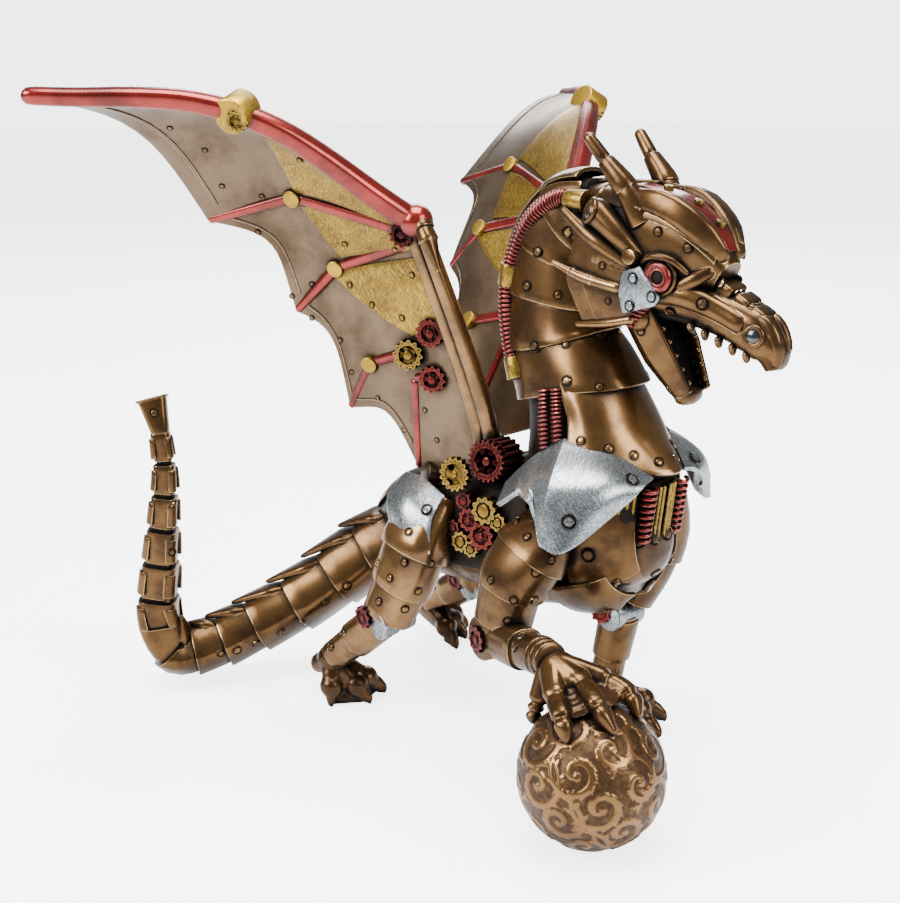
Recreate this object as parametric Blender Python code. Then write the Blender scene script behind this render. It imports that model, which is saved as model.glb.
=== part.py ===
"""Clockwork dragon statue: a cast and painted resin dragon with a forepaw on an engraved ball.

The body, with its head, legs and tail, is one casting. The two wings and the ball are castings of
their own. All places are points of a figure 245 units high, which `at` turns into metres.
The dragon looks along +X, its right side is towards -Y, and it stands on the plane Z = 0.
"""

import math

import bmesh
import bpy
from mathutils import Matrix, Vector

# Driving sizes, in metres
STATUE_HEIGHT = 0.245
BALL_DIAMETER = 0.050
BALL_FLAT_RADIUS = 0.0045
SEAT_GAP = 0.0003
MEMBRANE_THICKNESS = 0.0022
MANTLE_THICKNESS = 0.0022
FRILL_THICKNESS = 0.0030
JAW_WALL = 0.0022

# The share of a joined casting's faces that is kept when its flat places are merged
BODY_FACES_KEPT = 0.48
WING_FACES_KEPT = 0.46

# The figure's own unit, and where the middle of its footprint lies in it
UNITS_HIGH = 245
UNIT = STATUE_HEIGHT / UNITS_HIGH
FOOTPRINT_MIDDLE = (-41.05, 5.45)

# The ball stands on the floor on its flat, ahead of the right shoulder
BALL_RADIUS = BALL_DIAMETER / 2
BALL_SPOT = (54.0, -60.0)
BALL_HEIGHT = math.sqrt(BALL_RADIUS**2 - BALL_FLAT_RADIUS**2)


def at(x, y, z):
    """A place on the figure, in metres."""
    return Vector((x, y, z)) * UNIT


BALL_CENTRE = Vector((BALL_SPOT[0] * UNIT, BALL_SPOT[1] * UNIT, BALL_HEIGHT))


def on_ball(x, y, z, above):
    """The point above the ball's skin in the direction (x, y, z) from its centre."""
    return BALL_CENTRE + Vector((x, y, z)).normalized() * (BALL_RADIUS + above * UNIT)


def smooth(points, t):
    """The point at share t of a smooth curve through the points."""
    spans = len(points) - 1
    k = min(int(t * spans), spans - 1)
    s = t * spans - k
    here, there = points[k], points[k + 1]
    before = points[k - 1] if k > 0 else here * 2 - there
    after = points[k + 2] if k + 2 <= spans else there * 2 - here
    return 0.5 * (
        here * 2
        + (there - before) * s
        + (before * 2 - here * 5 + there * 4 - after) * s * s
        + (here * 3 - before - there * 3 + after) * s * s * s
    )


def blend(values, t):
    """Straight interpolation in a list of numbers or of pairs."""
    spans = len(values) - 1
    k = min(int(t * spans), spans - 1)
    s = t * spans - k
    if isinstance(values[0], tuple):
        return tuple(a * (1 - s) + b * s for a, b in zip(values[k], values[k + 1]))
    return values[k] * (1 - s) + values[k + 1] * s


def axes_at(points, t, up):
    """The tangent, side and up directions of the smooth curve at share t."""
    step = 0.01
    tangent = smooth(points, min(t + step, 1)) - smooth(points, max(t - step, 0))
    tangent.normalize()
    side = tangent.cross(up).normalized()
    return tangent, side, side.cross(tangent)


def mesh_object(name, bm, group):
    """A closed mesh, facing outwards, as an object in the group."""
    bmesh.ops.remove_doubles(bm, verts=bm.verts, dist=0.00001)
    bmesh.ops.recalc_face_normals(bm, faces=bm.faces)
    bmesh.ops.triangulate(bm, faces=bm.faces)
    mesh = bpy.data.meshes.new(name)
    bm.to_mesh(mesh)
    bm.free()
    made = bpy.data.objects.new(name, mesh)
    group.objects.link(made)
    made.parent = footprint
    return made


def loft(name, rings, group):
    """A closed skin over the rings, with flat ends."""
    bm = bmesh.new()
    rows = [[bm.verts.new(p) for p in ring] for ring in rings]
    count = len(rings[0])
    for low, high in zip(rows, rows[1:]):
        for i in range(count):
            j = (i + 1) % count
            bm.faces.new((low[i], low[j], high[j], high[i]))
    bm.faces.new(list(reversed(rows[0])))
    bm.faces.new(rows[-1])
    return mesh_object(name, bm, group)


def ring(centre, side, up, half_side, half_up, sides, square=1.0, keel=0.0):
    """An oval of points. square under 1 fills its corners, and keel draws its +up end to an edge."""
    points = []
    for i in range(sides):
        angle = 2 * math.pi * i / sides
        s, u = math.sin(angle), math.cos(angle)
        across = math.copysign(abs(s) ** square, s) * half_side
        along = math.copysign(abs(u) ** square, u) * half_up
        along += keel * max(0.0, u) ** 6 * half_up
        points.append(centre + side * across + up * along)
    return points


def limb(name, points, halves, group, plates=1, lip=0.0, sides=12, up=Vector((0, 0, 1)), square=0.8,
         keel=0.0, steps=2):
    """A limb along a curve, clad in plates that each flare by lip at their far end."""
    rings = []
    for k in range(plates):
        for j in range(steps + 1):
            t = (k + j / steps) / plates
            _, side, raised = axes_at(points, t, up)
            half_side, half_up = blend(halves, t)
            grown = lip * j / steps
            rings.append(
                ring(smooth(points, t), side, raised, (half_side + grown) * UNIT,
                     (half_up + grown) * UNIT, sides, square, keel)
            )
    return loft(name, rings, group)


def rod(name, points, radii, group, sides=8, steps=1):
    """A round bar through the points, with a radius at each."""
    rings = []
    count = (len(points) - 1) * steps
    for k in range(count + 1):
        t = k / count
        tangent, side, raised = axes_at(points, t, Vector((0.31, 0.17, 0.93)))
        r = blend(radii, t) * UNIT
        rings.append(ring(smooth(points, t), side, raised, r, r, sides))
    return loft(name, rings, group)


def drum(name, centre, direction, radius, length, group, sides=12):
    """A short cylinder, centred."""
    half = direction.normalized() * (length * UNIT / 2)
    _, side, raised = axes_at([centre - half, centre + half], 0.5, Vector((0.31, 0.17, 0.93)))
    r = radius * UNIT
    return loft(name, [ring(centre + half * e, side, raised, r, r, sides) for e in (-1, 1)], group)


def gear(name, centre, direction, radius, length, teeth, group):
    """A toothed wheel: a cylinder whose outline steps in and out."""
    half = direction.normalized() * (length * UNIT / 2)
    _, side, raised = axes_at([centre - half, centre + half], 0.5, Vector((0.31, 0.17, 0.93)))
    root = 0.84
    rings = []
    for end in (-1, 1):
        points = []
        for i in range(teeth * 2):
            angle = math.pi * i / teeth
            r = radius * UNIT * (1 if i % 2 else root)
            points.append(centre + half * end + side * math.cos(angle) * r + raised * math.sin(angle) * r)
        rings.append(points)
    return loft(name, rings, group)


def sheet(name, rows, thickness, group):
    """A closed plate of even thickness: the rows of points are its outer face."""
    def normal(i, j):
        down = rows[min(i + 1, len(rows) - 1)][j] - rows[max(i - 1, 0)][j]
        along = rows[i][min(j + 1, len(rows[0]) - 1)] - rows[i][max(j - 1, 0)]
        return down.cross(along).normalized()

    bm = bmesh.new()
    last_row, last = len(rows) - 1, len(rows[0]) - 1
    faces = []
    for sign in (0.5, -0.5):
        faces.append(
            [[bm.verts.new(p + normal(i, j) * thickness * sign) for j, p in enumerate(row)]
             for i, row in enumerate(rows)]
        )
    outer, inner = faces
    for i in range(last_row):
        for j in range(last):
            bm.faces.new((outer[i][j], outer[i][j + 1], outer[i + 1][j + 1], outer[i + 1][j]))
            bm.faces.new((inner[i][j], inner[i + 1][j], inner[i + 1][j + 1], inner[i][j + 1]))
    rim = [(0, j) for j in range(last)] + [(i, last) for i in range(last_row)]
    rim += [(last_row, j) for j in range(last, 0, -1)] + [(i, 0) for i in range(last_row, 0, -1)]
    for (a, b), (c, d) in zip(rim, rim[1:] + rim[:1]):
        bm.faces.new((outer[a][b], outer[c][d], inner[c][d], inner[a][b]))
    return mesh_object(name, bm, group)


def mirrored(points):
    """The same points on the dragon's left side."""
    return [Vector((p.x, -p.y, p.z)) for p in points]


def sided(side, points):
    """The right side's points for side -1, and the left side's for side 1."""
    return points if side < 0 else mirrored(points)


def new_group(name):
    """A collection for shapes that a Boolean joins to, or cuts from, a casting."""
    group = bpy.data.collections.new(name)
    bpy.context.scene.collection.children.link(group)
    return group


def helpers(group):
    """Marks a group's shapes as helpers, which aren't pieces themselves."""
    for item in group.objects:
        item.hide_render = True
        item.display_type = "WIRE"


def boolean(target, group, operation):
    """Joins a group of shapes to the target, or cuts it from the target."""
    cut = target.modifiers.new(operation.lower() + "_" + group.name, "BOOLEAN")
    cut.operation = operation
    cut.operand_type = "COLLECTION"
    cut.collection = group
    cut.solver = "EXACT"
    helpers(group)


def shells_of(bm):
    """The mesh's separate closed shells, as lists of faces."""
    left = set(bm.faces)
    shells = []
    while left:
        reached = [left.pop()]
        for face in reached:
            for edge in face.edges:
                for neighbour in edge.link_faces:
                    if neighbour in left:
                        left.remove(neighbour)
                        reached.append(neighbour)
        shells.append(reached)
    return shells


def cast(target, shapes, share):
    """Joins the shapes to the target, fills any void that they seal, and merges flat places' faces."""
    boolean(target, shapes, "UNION")
    joined = target.evaluated_get(bpy.context.evaluated_depsgraph_get())
    bm = bmesh.new()
    bm.from_mesh(joined.to_mesh())
    bmesh.ops.triangulate(bm, faces=bm.faces)
    for shell in shells_of(bm):
        corners = [[v.co for v in face.verts] for face in shell]
        if sum(a.dot(b.cross(c)) for a, b, c in corners) < 0:
            bmesh.ops.delete(bm, geom=shell, context="FACES")
    target.modifiers.clear()
    bm.to_mesh(target.data)
    bm.free()
    merged = target.modifiers.new("merged_flats", "DECIMATE")
    merged.ratio = share


def finish(name, colour, roughness):
    """A plain metallic paint."""
    made = bpy.data.materials.new(name)
    made.use_nodes = True
    shader = made.node_tree.nodes["Principled BSDF"]
    shader.inputs["Base Color"].default_value = (*colour, 1)
    shader.inputs["Roughness"].default_value = roughness
    shader.inputs["Metallic"].default_value = 1.0
    return made


# The trunk, from the tail's root to the breast, and the neck that rises from it

TRUNK_LINE = [at(-103, 0, 57), at(-94, 0, 63), at(-80, 0, 70), at(-60, 0, 75), at(-38, 0, 78), at(-16, 0, 82),
              at(6, 0, 87), at(20, 0, 90), at(30, 0, 91), at(35, 0, 92)]
TRUNK_HALVES = [(8, 9), (14, 14), (20, 20), (24, 23), (24, 25), (25, 27), (27, 29), (24, 27), (15, 19), (8, 10)]
NECK_LINE = [at(4, 0, 98), at(3, 0, 118), at(-3, 0, 137), at(-12, 0, 154), at(-14, 0, 170), at(-13.5, 0, 186),
             at(-6, 0, 199), at(6, 0, 204)]
NECK_HALVES = [(22, 26), (19.5, 27), (17.5, 22), (16, 18.5), (14.5, 18), (13.5, 17.5), (12.5, 15), (11, 12)]
BIB_THICKNESS = 0.0024


def trunk(name, group, sides=16, clearance=0.0):
    """The trunk, as wide as a clearance more than the casting's."""
    halves = [(a + clearance / UNIT, b + clearance / UNIT) for a, b in TRUNK_HALVES]
    count = len(TRUNK_LINE) - 1
    rings = []
    for k in range(count + 1):
        _, side, raised = axes_at(TRUNK_LINE, k / count, Vector((0, 0, 1)))
        half_side, half_up = halves[k]
        rings.append(ring(TRUNK_LINE[k], side, raised, half_side * UNIT, half_up * UNIT, sides, 0.85))
    return loft(name, rings, group)


def neck(group):
    """Ring plates with an edge down their front, and the larger bib plate that wraps the breast."""
    limb("neck", NECK_LINE, NECK_HALVES, group, plates=6, lip=-1.5, sides=14, up=Vector((1, 0, 0.1)), keel=0.1,
         steps=1)
    half = [
        [at(1, -16.5, 146), at(8, -14, 145), at(15, -8, 143), at(20, 0, 141)],
        [at(8, -19, 131), at(16, -17.5, 130), at(24, -10.5, 127.5), at(29, 0, 125.5)],
        [at(10.6, -22, 121.5), at(22, -20, 117.8), at(32.5, -11.5, 113.6), at(40.7, 0, 112.5)],
    ]
    rows = [row + mirrored(list(reversed(row[:-1]))) for row in half]
    sheet("bib", rows, BIB_THICKNESS, group)


def belly_plates(group):
    """Lapped plates that wrap the breast and belly below the engine bay."""
    for k, (x, z, wide, high) in enumerate([(22, 82, 20, 15), (15, 77, 23, 15), (7, 73, 25, 15)]):
        line = [at(x + 8, 0, z + 4), at(x, 0, z), at(x - 14, 0, z - 3)]
        limb(f"belly_plate_{k}", line, [(wide - 7, high - 5), (wide, high), (wide + 1, high)], group, sides=14,
             steps=2)


def hoses(group):
    """A sprung hose down each side of the nape, from the rearmost lamp to the back."""
    for side in (-1, 1):
        line = sided(side, [at(8, -13, 207), at(-4, -12, 207), at(-17, -11, 198), at(-25, -11, 185),
                            at(-27, -12, 170), at(-24, -14, 154), at(-17, -16, 139)])
        rod("hose", line, [3.4, 3.4, 3.6, 3.6, 3.8, 3.8, 3.6], group, steps=2, sides=6)


def engine_bay(group):
    """Upright pipes in the dark gap between the mantles and the belly plates."""
    for k in range(-3, 4):
        x = 33 - 0.5 * k * k
        rod("bay_pipe", [at(x, 5 * k, 86), at(x + 1, 5 * k, 109)], [2.2, 2.2], group, sides=6)


# The head: skull, snout, hanging jaw, horns, frill spikes, lamps and eyes

SKULL_LINE = [at(-3, 0, 199), at(8, 0, 197), at(22, 0, 195), at(37, 0, 193), at(49, 0, 189), at(58, 0, 184)]
SKULL_HALVES = [(8, 10), (11.5, 14.5), (13, 17), (13.5, 16.5), (11.5, 12.5), (6, 6)]
SNOUT_LINE = [at(34, 0, 177), at(48, 0, 175.5), at(60, 0, 172), at(70, 0, 168), at(76.5, 0, 162), at(78, 0, 156)]
SNOUT_HALVES = [(11, 7), (9, 7.5), (7.5, 7.5), (7, 8), (6, 6), (2.5, 3)]
JAW_LINE = [at(27, 0, 170), at(36, 0, 156), at(46, 0, 142.5)]
JAW_HALVES = [(10.5, 8), (9.5, 7.5), (6.5, 4.5)]


def skull(group):
    limb("skull", SKULL_LINE, SKULL_HALVES, group, plates=5, steps=1, sides=12, square=0.75)
    limb("snout", SNOUT_LINE, SNOUT_HALVES, group, plates=5, steps=1, sides=10, square=0.75)
    for k in range(3):
        centre = at(59 + 6.5 * k, 0, 181.5 - 3.2 * k)
        drum("bridge_block", centre, Vector((1, 0, -0.5)), 3.9, 5.6, group, sides=6)


def jaw(group):
    """The lower jaw is a trough, open to the front."""
    mouth = Vector((0.85, 0, 0.53))
    rings = []
    wall = JAW_WALL
    for k, centre in enumerate(JAW_LINE):
        wide, deep = (h * UNIT for h in JAW_HALVES[k])
        across = Vector((0, 1, 0))
        outline = [(-wide, deep), (-wide, -deep * 0.3), (-wide * 0.55, -deep), (wide * 0.55, -deep),
                   (wide, -deep * 0.3), (wide, deep), (wide - wall, deep), (wide - wall, -deep * 0.1),
                   (wide * 0.5 - wall * 0.5, wall - deep), (wall * 0.5 - wide * 0.5, wall - deep),
                   (wall - wide, -deep * 0.1), (wall - wide, deep)]
        rings.append([centre + across * a + mouth * b for a, b in outline])
    loft("jaw", rings, group)
    chin = JAW_LINE[-1]
    drum("chin", chin, Vector((0, 1, 0)), 4.6, 2 * JAW_HALVES[-1][0] - 0.6, group, sides=8)
    for side in (-1, 1):
        for k in range(3):
            root = at(50 + 8 * k, side * (7.0 - 0.9 * k), 169.5 - 3.4 * k)
            rod("tooth", [root, root - at(-0.5, 0, 4.6)], [1.5, 0.5], group, sides=6)


def horns_and_frill(group):
    """Horns on the crown. Behind each eye a frill of plates, ribbed by a lamp and three spikes."""
    for side in (-1, 1):
        horn = sided(side, [at(29, -9, 203), at(24, -11.5, 212), at(16, -13, 221), at(9, -14.5, 229.5)])
        rod("horn", horn, [4.2, 3.6, 2.8, 1.7], group)
        frill = [
            sided(side, [at(29, -12.5, 195), at(18, -13.5, 199), at(6, -14, 200)]),
            sided(side, [at(30, -13.5, 186), at(17, -14.5, 189), at(5, -15, 190)]),
            sided(side, [at(30, -13.5, 177), at(16, -14.5, 178), at(3, -15, 180)]),
            sided(side, [at(30, -12.5, 169), at(20, -13.5, 167), at(10, -14, 165)]),
        ]
        sheet("frill", frill, FRILL_THICKNESS, group)
        lamp = sided(side, [at(32, -13, 190), at(23, -15.5, 198), at(14, -17, 205)])
        rod("lamp", lamp, [2.2, 4.0, 5.4], group, sides=10)
        spikes = [
            (at(29, -14, 186), at(15, -16, 194), at(2, -17, 202.5)),
            (at(26, -15, 178.5), at(12, -16.5, 181), at(-2, -17.5, 185)),
            (at(31, -13, 169), at(20, -14.5, 166.5), at(9, -15.5, 164)),
        ]
        for base, middle, end in spikes:
            rod("spike", sided(side, [base, middle, end]), [2.3, 2.1, 1.2], group, sides=6)
        out = Vector((0.05, side, 0.05))
        drum("eye_ring", at(41, side * 12.5, 184), out, 5.2, 6.0, group)
        drum("eye_pupil", at(41, side * 14.5, 184), out, 2.6, 3.6, group, sides=8)
        drum("jaw_spring", at(31, side * 10.5, 171), Vector((0.6, 0, 0.8)), 2.6, 9, group, sides=8)
        drum("nostril", at(73.5, side * 5.8, 167.5), Vector((0.15, side, 0.2)), 3.4, 4.4, group, sides=8)
        brow = sided(side, [at(24, -9, 209), at(40, -10, 207), at(52, -7, 199.5), at(59, -3, 191)])
        rod("brow", brow, [3.0, 3.6, 3.6, 3.0], group, sides=6)
        cheek = sided(side, [at(35, -10.5, 178), at(47, -9.2, 178), at(62, -6.0, 172.5)])
        rod("cheek", cheek, [4.4, 4.2, 3.0], group, sides=6)


# The fore legs: the right paw lies on the ball, and the left one stands behind it

ELBOW = at(-5, -42, 52)
WRIST = BALL_CENTRE + at(-20.5, 2.5, 9) + Vector((0, 0, BALL_RADIUS))
WEB_THICKNESS = 0.0024


def paw_fingers():
    """The lines of the right paw's three fingers and its thumb, from the wrist to the ball."""
    return [
        [WRIST, on_ball(-10, -6.6, 26, 5.0), on_ball(-1.2, -14.7, 25, 3.5), on_ball(3.6, -17.6, 18.5, 0.5)],
        [WRIST, on_ball(-7, 2, 28, 5.5), on_ball(5.4, -5, 28, 3.8), on_ball(14, -6, 21, 0.5)],
        [WRIST, on_ball(-5, 10, 29, 7.0), on_ball(6, 11, 27, 5.0), on_ball(12.5, 8.5, 21, 0.5)],
        [WRIST, on_ball(-22.5, -3, 23, 5.0), on_ball(-21, -4, 17, 2.5), on_ball(-20, -4, 11, 0.5)],
    ]


def right_foreleg(group):
    upper = [at(13, -28, 103), at(8, -36, 88), at(2, -41, 74), at(-2, -42, 58)]
    limb("upper_arm", upper, [(9, 14), (10, 14.5), (9.5, 12), (8, 9)], group, plates=3, lip=1.4, steps=1,
         up=Vector((1, 0, 0)), sides=10)
    drum("elbow", ELBOW, Vector((0.3, 1, 0)), 8.5, 15, group, sides=10)
    limb("forearm", [ELBOW, ELBOW.lerp(WRIST, 0.5) - at(0, 0, 0.5), WRIST], [(7.6, 8), (6.8, 6.8), (5.2, 5.2)],
         group, plates=2, lip=0.7, sides=8, steps=1)
    fingers = paw_fingers()
    for k, line in enumerate(fingers):
        rod(f"finger_{k}", line, [4.2, 3.2, 2.9, 1.3], group, steps=2, sides=6)
    for first, second in zip(fingers[:2], fingers[1:3]):
        rows = []
        for t in (0.12, 0.36, 0.6):
            a, b = smooth(first, t), smooth(second, t)
            rows.append([a.lerp(b, share) - at(0, 0, 1.2) for share in (0.0, 0.5, 1.0)])
        sheet("web", rows, WEB_THICKNESS, group)


def foot(group, ankle, toes, heel):
    """Three knuckled toes and a heel spur round the ankle, joined by arched webs that reach the floor."""
    rod("ankle", [ankle + at(0, 0, 5), ankle - at(0, 0, 5)], [5.4, 6.2], group)
    rod("heel", [ankle, heel], [4.8, 4.4], group)
    lines = []
    for toe in toes:
        knuckle = ankle.lerp(toe, 0.55)
        knuckle.z = toe.z + 7.5 * UNIT
        start = ankle - at(0, 0, 3)
        lines.append([start, knuckle, toe])
    for k, line in enumerate(lines):
        rod(f"toe_{k}", line, [4.6, 4.0, 2.4], group, sides=6, steps=2)
    for first, second in zip(lines, lines[1:]):
        for t, radius, drop in ((0.5, 5.0, 1.0), (0.8, 3.8, 2.6)):
            middle = smooth(first, t).lerp(smooth(second, t), 0.5)
            drum("web", middle - at(0, 0, drop), middle - ankle, radius, 8, group, sides=8)


LEFT_KNEE = at(4, 20, 46)
LEFT_ANKLE = at(-3, 20, 12)
TOE_HEIGHT = 1.3


def left_foreleg(group):
    upper = [at(13, 27, 98), at(14, 28, 82), at(11, 26, 67), at(6, 21, 53)]
    limb("upper_arm_left", upper, [(9, 12), (10, 12), (9, 11), (8, 9)], group, plates=2, lip=1.2, sides=10,
         steps=1, up=Vector((1, 0, 0)))
    drum("knee_left", LEFT_KNEE, Vector((0.1, 1, 0)), 6.4, 14, group, sides=10)
    limb("shin_left", [LEFT_KNEE, LEFT_KNEE.lerp(LEFT_ANKLE, 0.5), LEFT_ANKLE], [(7.8, 8), (6.2, 6.2), (5, 5)],
         group, plates=2, lip=1.0, sides=8, steps=1, up=Vector((1, 0, 0)))
    toes = [at(17, 6, TOE_HEIGHT), at(25, 18, TOE_HEIGHT), at(18, 31, TOE_HEIGHT)]
    foot(group, LEFT_ANKLE, toes, at(-13, 21, 6))


# The hind legs: the right one stands, and the left one crouches a step behind it


def hind_leg(group, hip, knee, ankle, heel, toes, side):
    """A plated thigh, a knee wheel, a plated shin and a webbed foot."""
    thigh = [hip, hip.lerp(knee, 0.33) + at(3, side * 4, 0), hip.lerp(knee, 0.68) + at(2, side * 2, 0), knee]
    limb("thigh", thigh, [(10, 14), (10.5, 13.5), (9.5, 11.5), (8, 9)], group, plates=3, lip=1.1, sides=10,
         steps=1, up=Vector((1, 0, 0)))
    drum("knee_wheel", knee, Vector((0.1, 1, 0.1)), 6.6, 17, group, sides=10)
    limb("shin", [knee, knee.lerp(ankle, 0.5), ankle], [(7.4, 8), (6.4, 7), (5.2, 5.2)], group, plates=2, lip=0.8,
         sides=8, steps=1, up=Vector((0, 0, 1)))
    foot(group, ankle, toes, heel)
    cover = [
        [hip + at(-14, side * 2, 8), hip + at(-2, side * 5, 9), hip + at(10, side * 5, 4)],
        [hip + at(-14, side * 12, 0), hip + at(-2, side * 15, 0), hip + at(11, side * 13, -4)],
        [hip + at(-5, side * 18, -12), hip + at(3, side * 19, -14), hip + at(13, side * 16, -16)],
    ]
    sheet("hip_plate", cover, MANTLE_THICKNESS, group)


def hind_legs(group):
    hind_leg(group, hip=at(-56, -21, 88), knee=at(-65, -39, 42), ankle=at(-92, -44, 18), heel=at(-103, -44, 11),
             toes=[at(-87, -50, TOE_HEIGHT), at(-78, -38, TOE_HEIGHT), at(-81, -27, TOE_HEIGHT)], side=-1)
    hind_leg(group, hip=at(-61, 21, 84), knee=at(-84, 33, 33), ankle=at(-113, 33, 15), heel=at(-120, 33, 9),
             toes=[at(-91, 27, TOE_HEIGHT), at(-96, 38, TOE_HEIGHT), at(-104, 47, TOE_HEIGHT)], side=1)


def mantle(side, group):
    """The brushed shoulder plate, which hangs from the bib over the upper arm to a low tip."""
    rows = [
        [at(-3, -22, 122), at(9, -23, 123.5), at(22, -19, 116), at(33.5, -8, 109.5)],
        [at(-5, -32, 117), at(9, -33, 117), at(22, -28, 110), at(34, -11, 107.5)],
        [at(-3, -40, 109), at(9, -40, 108), at(20, -35, 101), at(33, -16, 104.8)],
        [at(3, -42, 99), at(10, -41.5, 94), at(18.5, -38, 88.4), at(27, -24, 97)],
    ]
    sheet("mantle", [sided(side, row) for row in rows], MANTLE_THICKNESS, group)


def hinge_works(side):
    """The wing hinge's drum, its big wheel and the wheel behind it: place, axis, radius and length of each."""
    hinge = Vector((1, 0.15 * side, 0.05))
    return [
        (at(-22, side * 17, 108), hinge, 6.2, 24),
        (at(-33, side * 18, 107), hinge, 10, 4),
        (at(-49, side * 19, 97), Vector((-0.2, side, 0.3)), 8, 8),
    ]


def flank_works(side, group):
    """The wing's hinge, and the clockwork in the flank below it."""
    hinge_drum, hinge_wheel, rear_wheel = hinge_works(side)
    drum("hinge_drum", *hinge_drum, group)
    gear("hinge_wheel", *hinge_wheel, 12, group)
    gear("rear_wheel", *rear_wheel, 10, group)
    out = Vector((0.1, side, 0.1))
    gear("flank_wheel_1", at(-30, side * 24, 82), out, 9, 6, 10, group)
    gear("flank_wheel_2", at(-20, side * 25, 93), out, 8, 6, 10, group)
    gear("flank_wheel_3", at(-38, side * 23, 70), out, 7, 5, 10, group)


# The tail curls to the right, then rises to a flared end

TAIL_LINE = [at(-90, -3, 61), at(-104, -15, 49), at(-119, -33, 33), at(-133, -52, 21), at(-143, -68, 14.5),
             at(-151, -80, 14.5), at(-155, -83, 31), at(-153, -82.5, 52), at(-150, -82, 73), at(-149, -81, 92),
             at(-151, -81, 110)]
TAIL_HALVES = [(12, 16), (11.5, 15), (10, 13.5), (9, 12), (8.5, 10), (8.5, 9), (8, 8.5), (7, 7), (5.5, 5.5),
               (4.3, 4.3), (3.6, 3.6)]


def tail(group):
    limb("tail", TAIL_LINE, TAIL_HALVES, group, plates=14, lip=-1.1, sides=8, up=Vector((0.55, -0.6, 0.6)),
         square=0.7, steps=1)
    end = TAIL_LINE[-1]
    across = Vector((0.72, 0.69, 0)) * UNIT
    rings = []
    for up, wide, deep in ((-3, 3.2, 3.0), (1, 4.0, 3.4), (9, 5.4, 3.4), (12, 5.8, 2.6)):
        centre = end + at(-0.35 * up, 0, up)
        rings.append(ring(centre, across.normalized(), Vector((-0.69, 0.72, 0)), wide * UNIT, deep * UNIT, 8, 0.7))
    loft("tail_end", rings, group)


def body():
    """The dragon's one casting, trimmed to the floor and to its seat on the ball."""
    parts = new_group("body_shapes")
    trims = new_group("body_trims")
    casting = trunk("dragon_body", bpy.context.scene.collection)
    neck(parts)
    belly_plates(parts)
    hoses(parts)
    engine_bay(parts)
    skull(parts)
    jaw(parts)
    horns_and_frill(parts)
    right_foreleg(parts)
    left_foreleg(parts)
    tail(parts)
    hind_legs(parts)
    for side in (-1, 1):
        mantle(side, parts)
        flank_works(side, parts)
    ball_shape("ball_seat", trims, clearance=SEAT_GAP)
    floor = bmesh.new()
    bmesh.ops.create_cube(floor, size=1.0, matrix=Matrix.Diagonal((1.0, 1.0, 0.1, 1.0)))
    bmesh.ops.translate(floor, verts=floor.verts, vec=(0, 0, -0.05))
    mesh_object("floor_cut", floor, trims)
    cast(casting, parts, BODY_FACES_KEPT)
    boolean(casting, trims, "DIFFERENCE")
    casting.data.materials.append(finish("antique bronze", (0.30, 0.20, 0.11), 0.38))


# The wings: a sheet spread on jointed fingers that fan from the wrist

WING_ROOT = at(-31, -17, 108)
WING_WRIST = at(-50, -37.5, 196.5)
WING_ARM = [WING_ROOT, at(-33, -21, 128), at(-40, -28, 158), WING_WRIST]
KNUCKLES = [at(-84, -89, 236), at(-94, -56, 204), at(-91, -38, 176.5), at(-82, -29.5, 139.5), at(-61, -26.5, 136)]
FINGER_TIPS = [at(-134, -142, 241.5), at(-129.5, -68.5, 193.5), at(-108.5, -44, 158), at(-97.5, -26.5, 118.5),
               at(-66.5, -19, 98)]
FINGER_ROOTS = [WING_WRIST, at(-52, -37, 193), at(-51, -35, 190), at(-60, -28.5, 147), at(-55, -26, 138)]
SHEET_ROOTS = [WING_WRIST, at(-49, -36, 192), at(-47, -34, 187), at(-39, -27, 154), at(-34, -22, 134), WING_ROOT]
SHEET_FOOT = at(-62, -17.5, 93)
PANEL_INSETS = (0.12, 0.42, 0.44, 0.40)
PANEL_BILLOWS = (at(0, 0, 11), at(-2, -2, 3), at(0, -2, 0), at(0, -1, 0))
LEFT_WING_TURN = (-9.7, 4.5, 5.3)
LEFT_WING_LIFT = at(-3, -1, 6)


def wing_place(side):
    """Where the left wing sits: its casting was set a little higher, and turned about its root."""
    if side < 0:
        return Matrix.Identity(4)
    turn = Vector(math.radians(a) for a in LEFT_WING_TURN)
    root = mirrored([WING_ROOT])[0]
    return (
        Matrix.Translation(root + LEFT_WING_LIFT)
        @ Matrix.Rotation(turn.length, 4, turn)
        @ Matrix.Translation(-root)
    )


def wing_rows(across, along):
    """The right wing's sheet, row by row from its leading edge to its foot, scalloped between the tips."""
    rows = []
    for k in range(len(KNUCKLES) - 1):
        for j in range(across):
            s = j / across
            swell = math.sin(math.pi * s)
            root = SHEET_ROOTS[k].lerp(SHEET_ROOTS[k + 1], s)
            middle = KNUCKLES[k].lerp(KNUCKLES[k + 1], s)
            tip = FINGER_TIPS[k].lerp(FINGER_TIPS[k + 1], s).lerp(middle, PANEL_INSETS[k] * swell)
            middle = middle + PANEL_BILLOWS[k] * swell * 0.5
            tip = tip + PANEL_BILLOWS[k] * swell
            rows.append([smooth([root, middle, tip], i / along) for i in range(along + 1)])
    foot_row = [SHEET_ROOTS[-1], SHEET_ROOTS[-1].lerp(SHEET_FOOT, 0.5), SHEET_FOOT]
    for line in ([SHEET_ROOTS[-2], KNUCKLES[-1], FINGER_TIPS[-1]], foot_row):
        rows.append([smooth(line, i / along) for i in range(along + 1)])
    return rows


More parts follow.
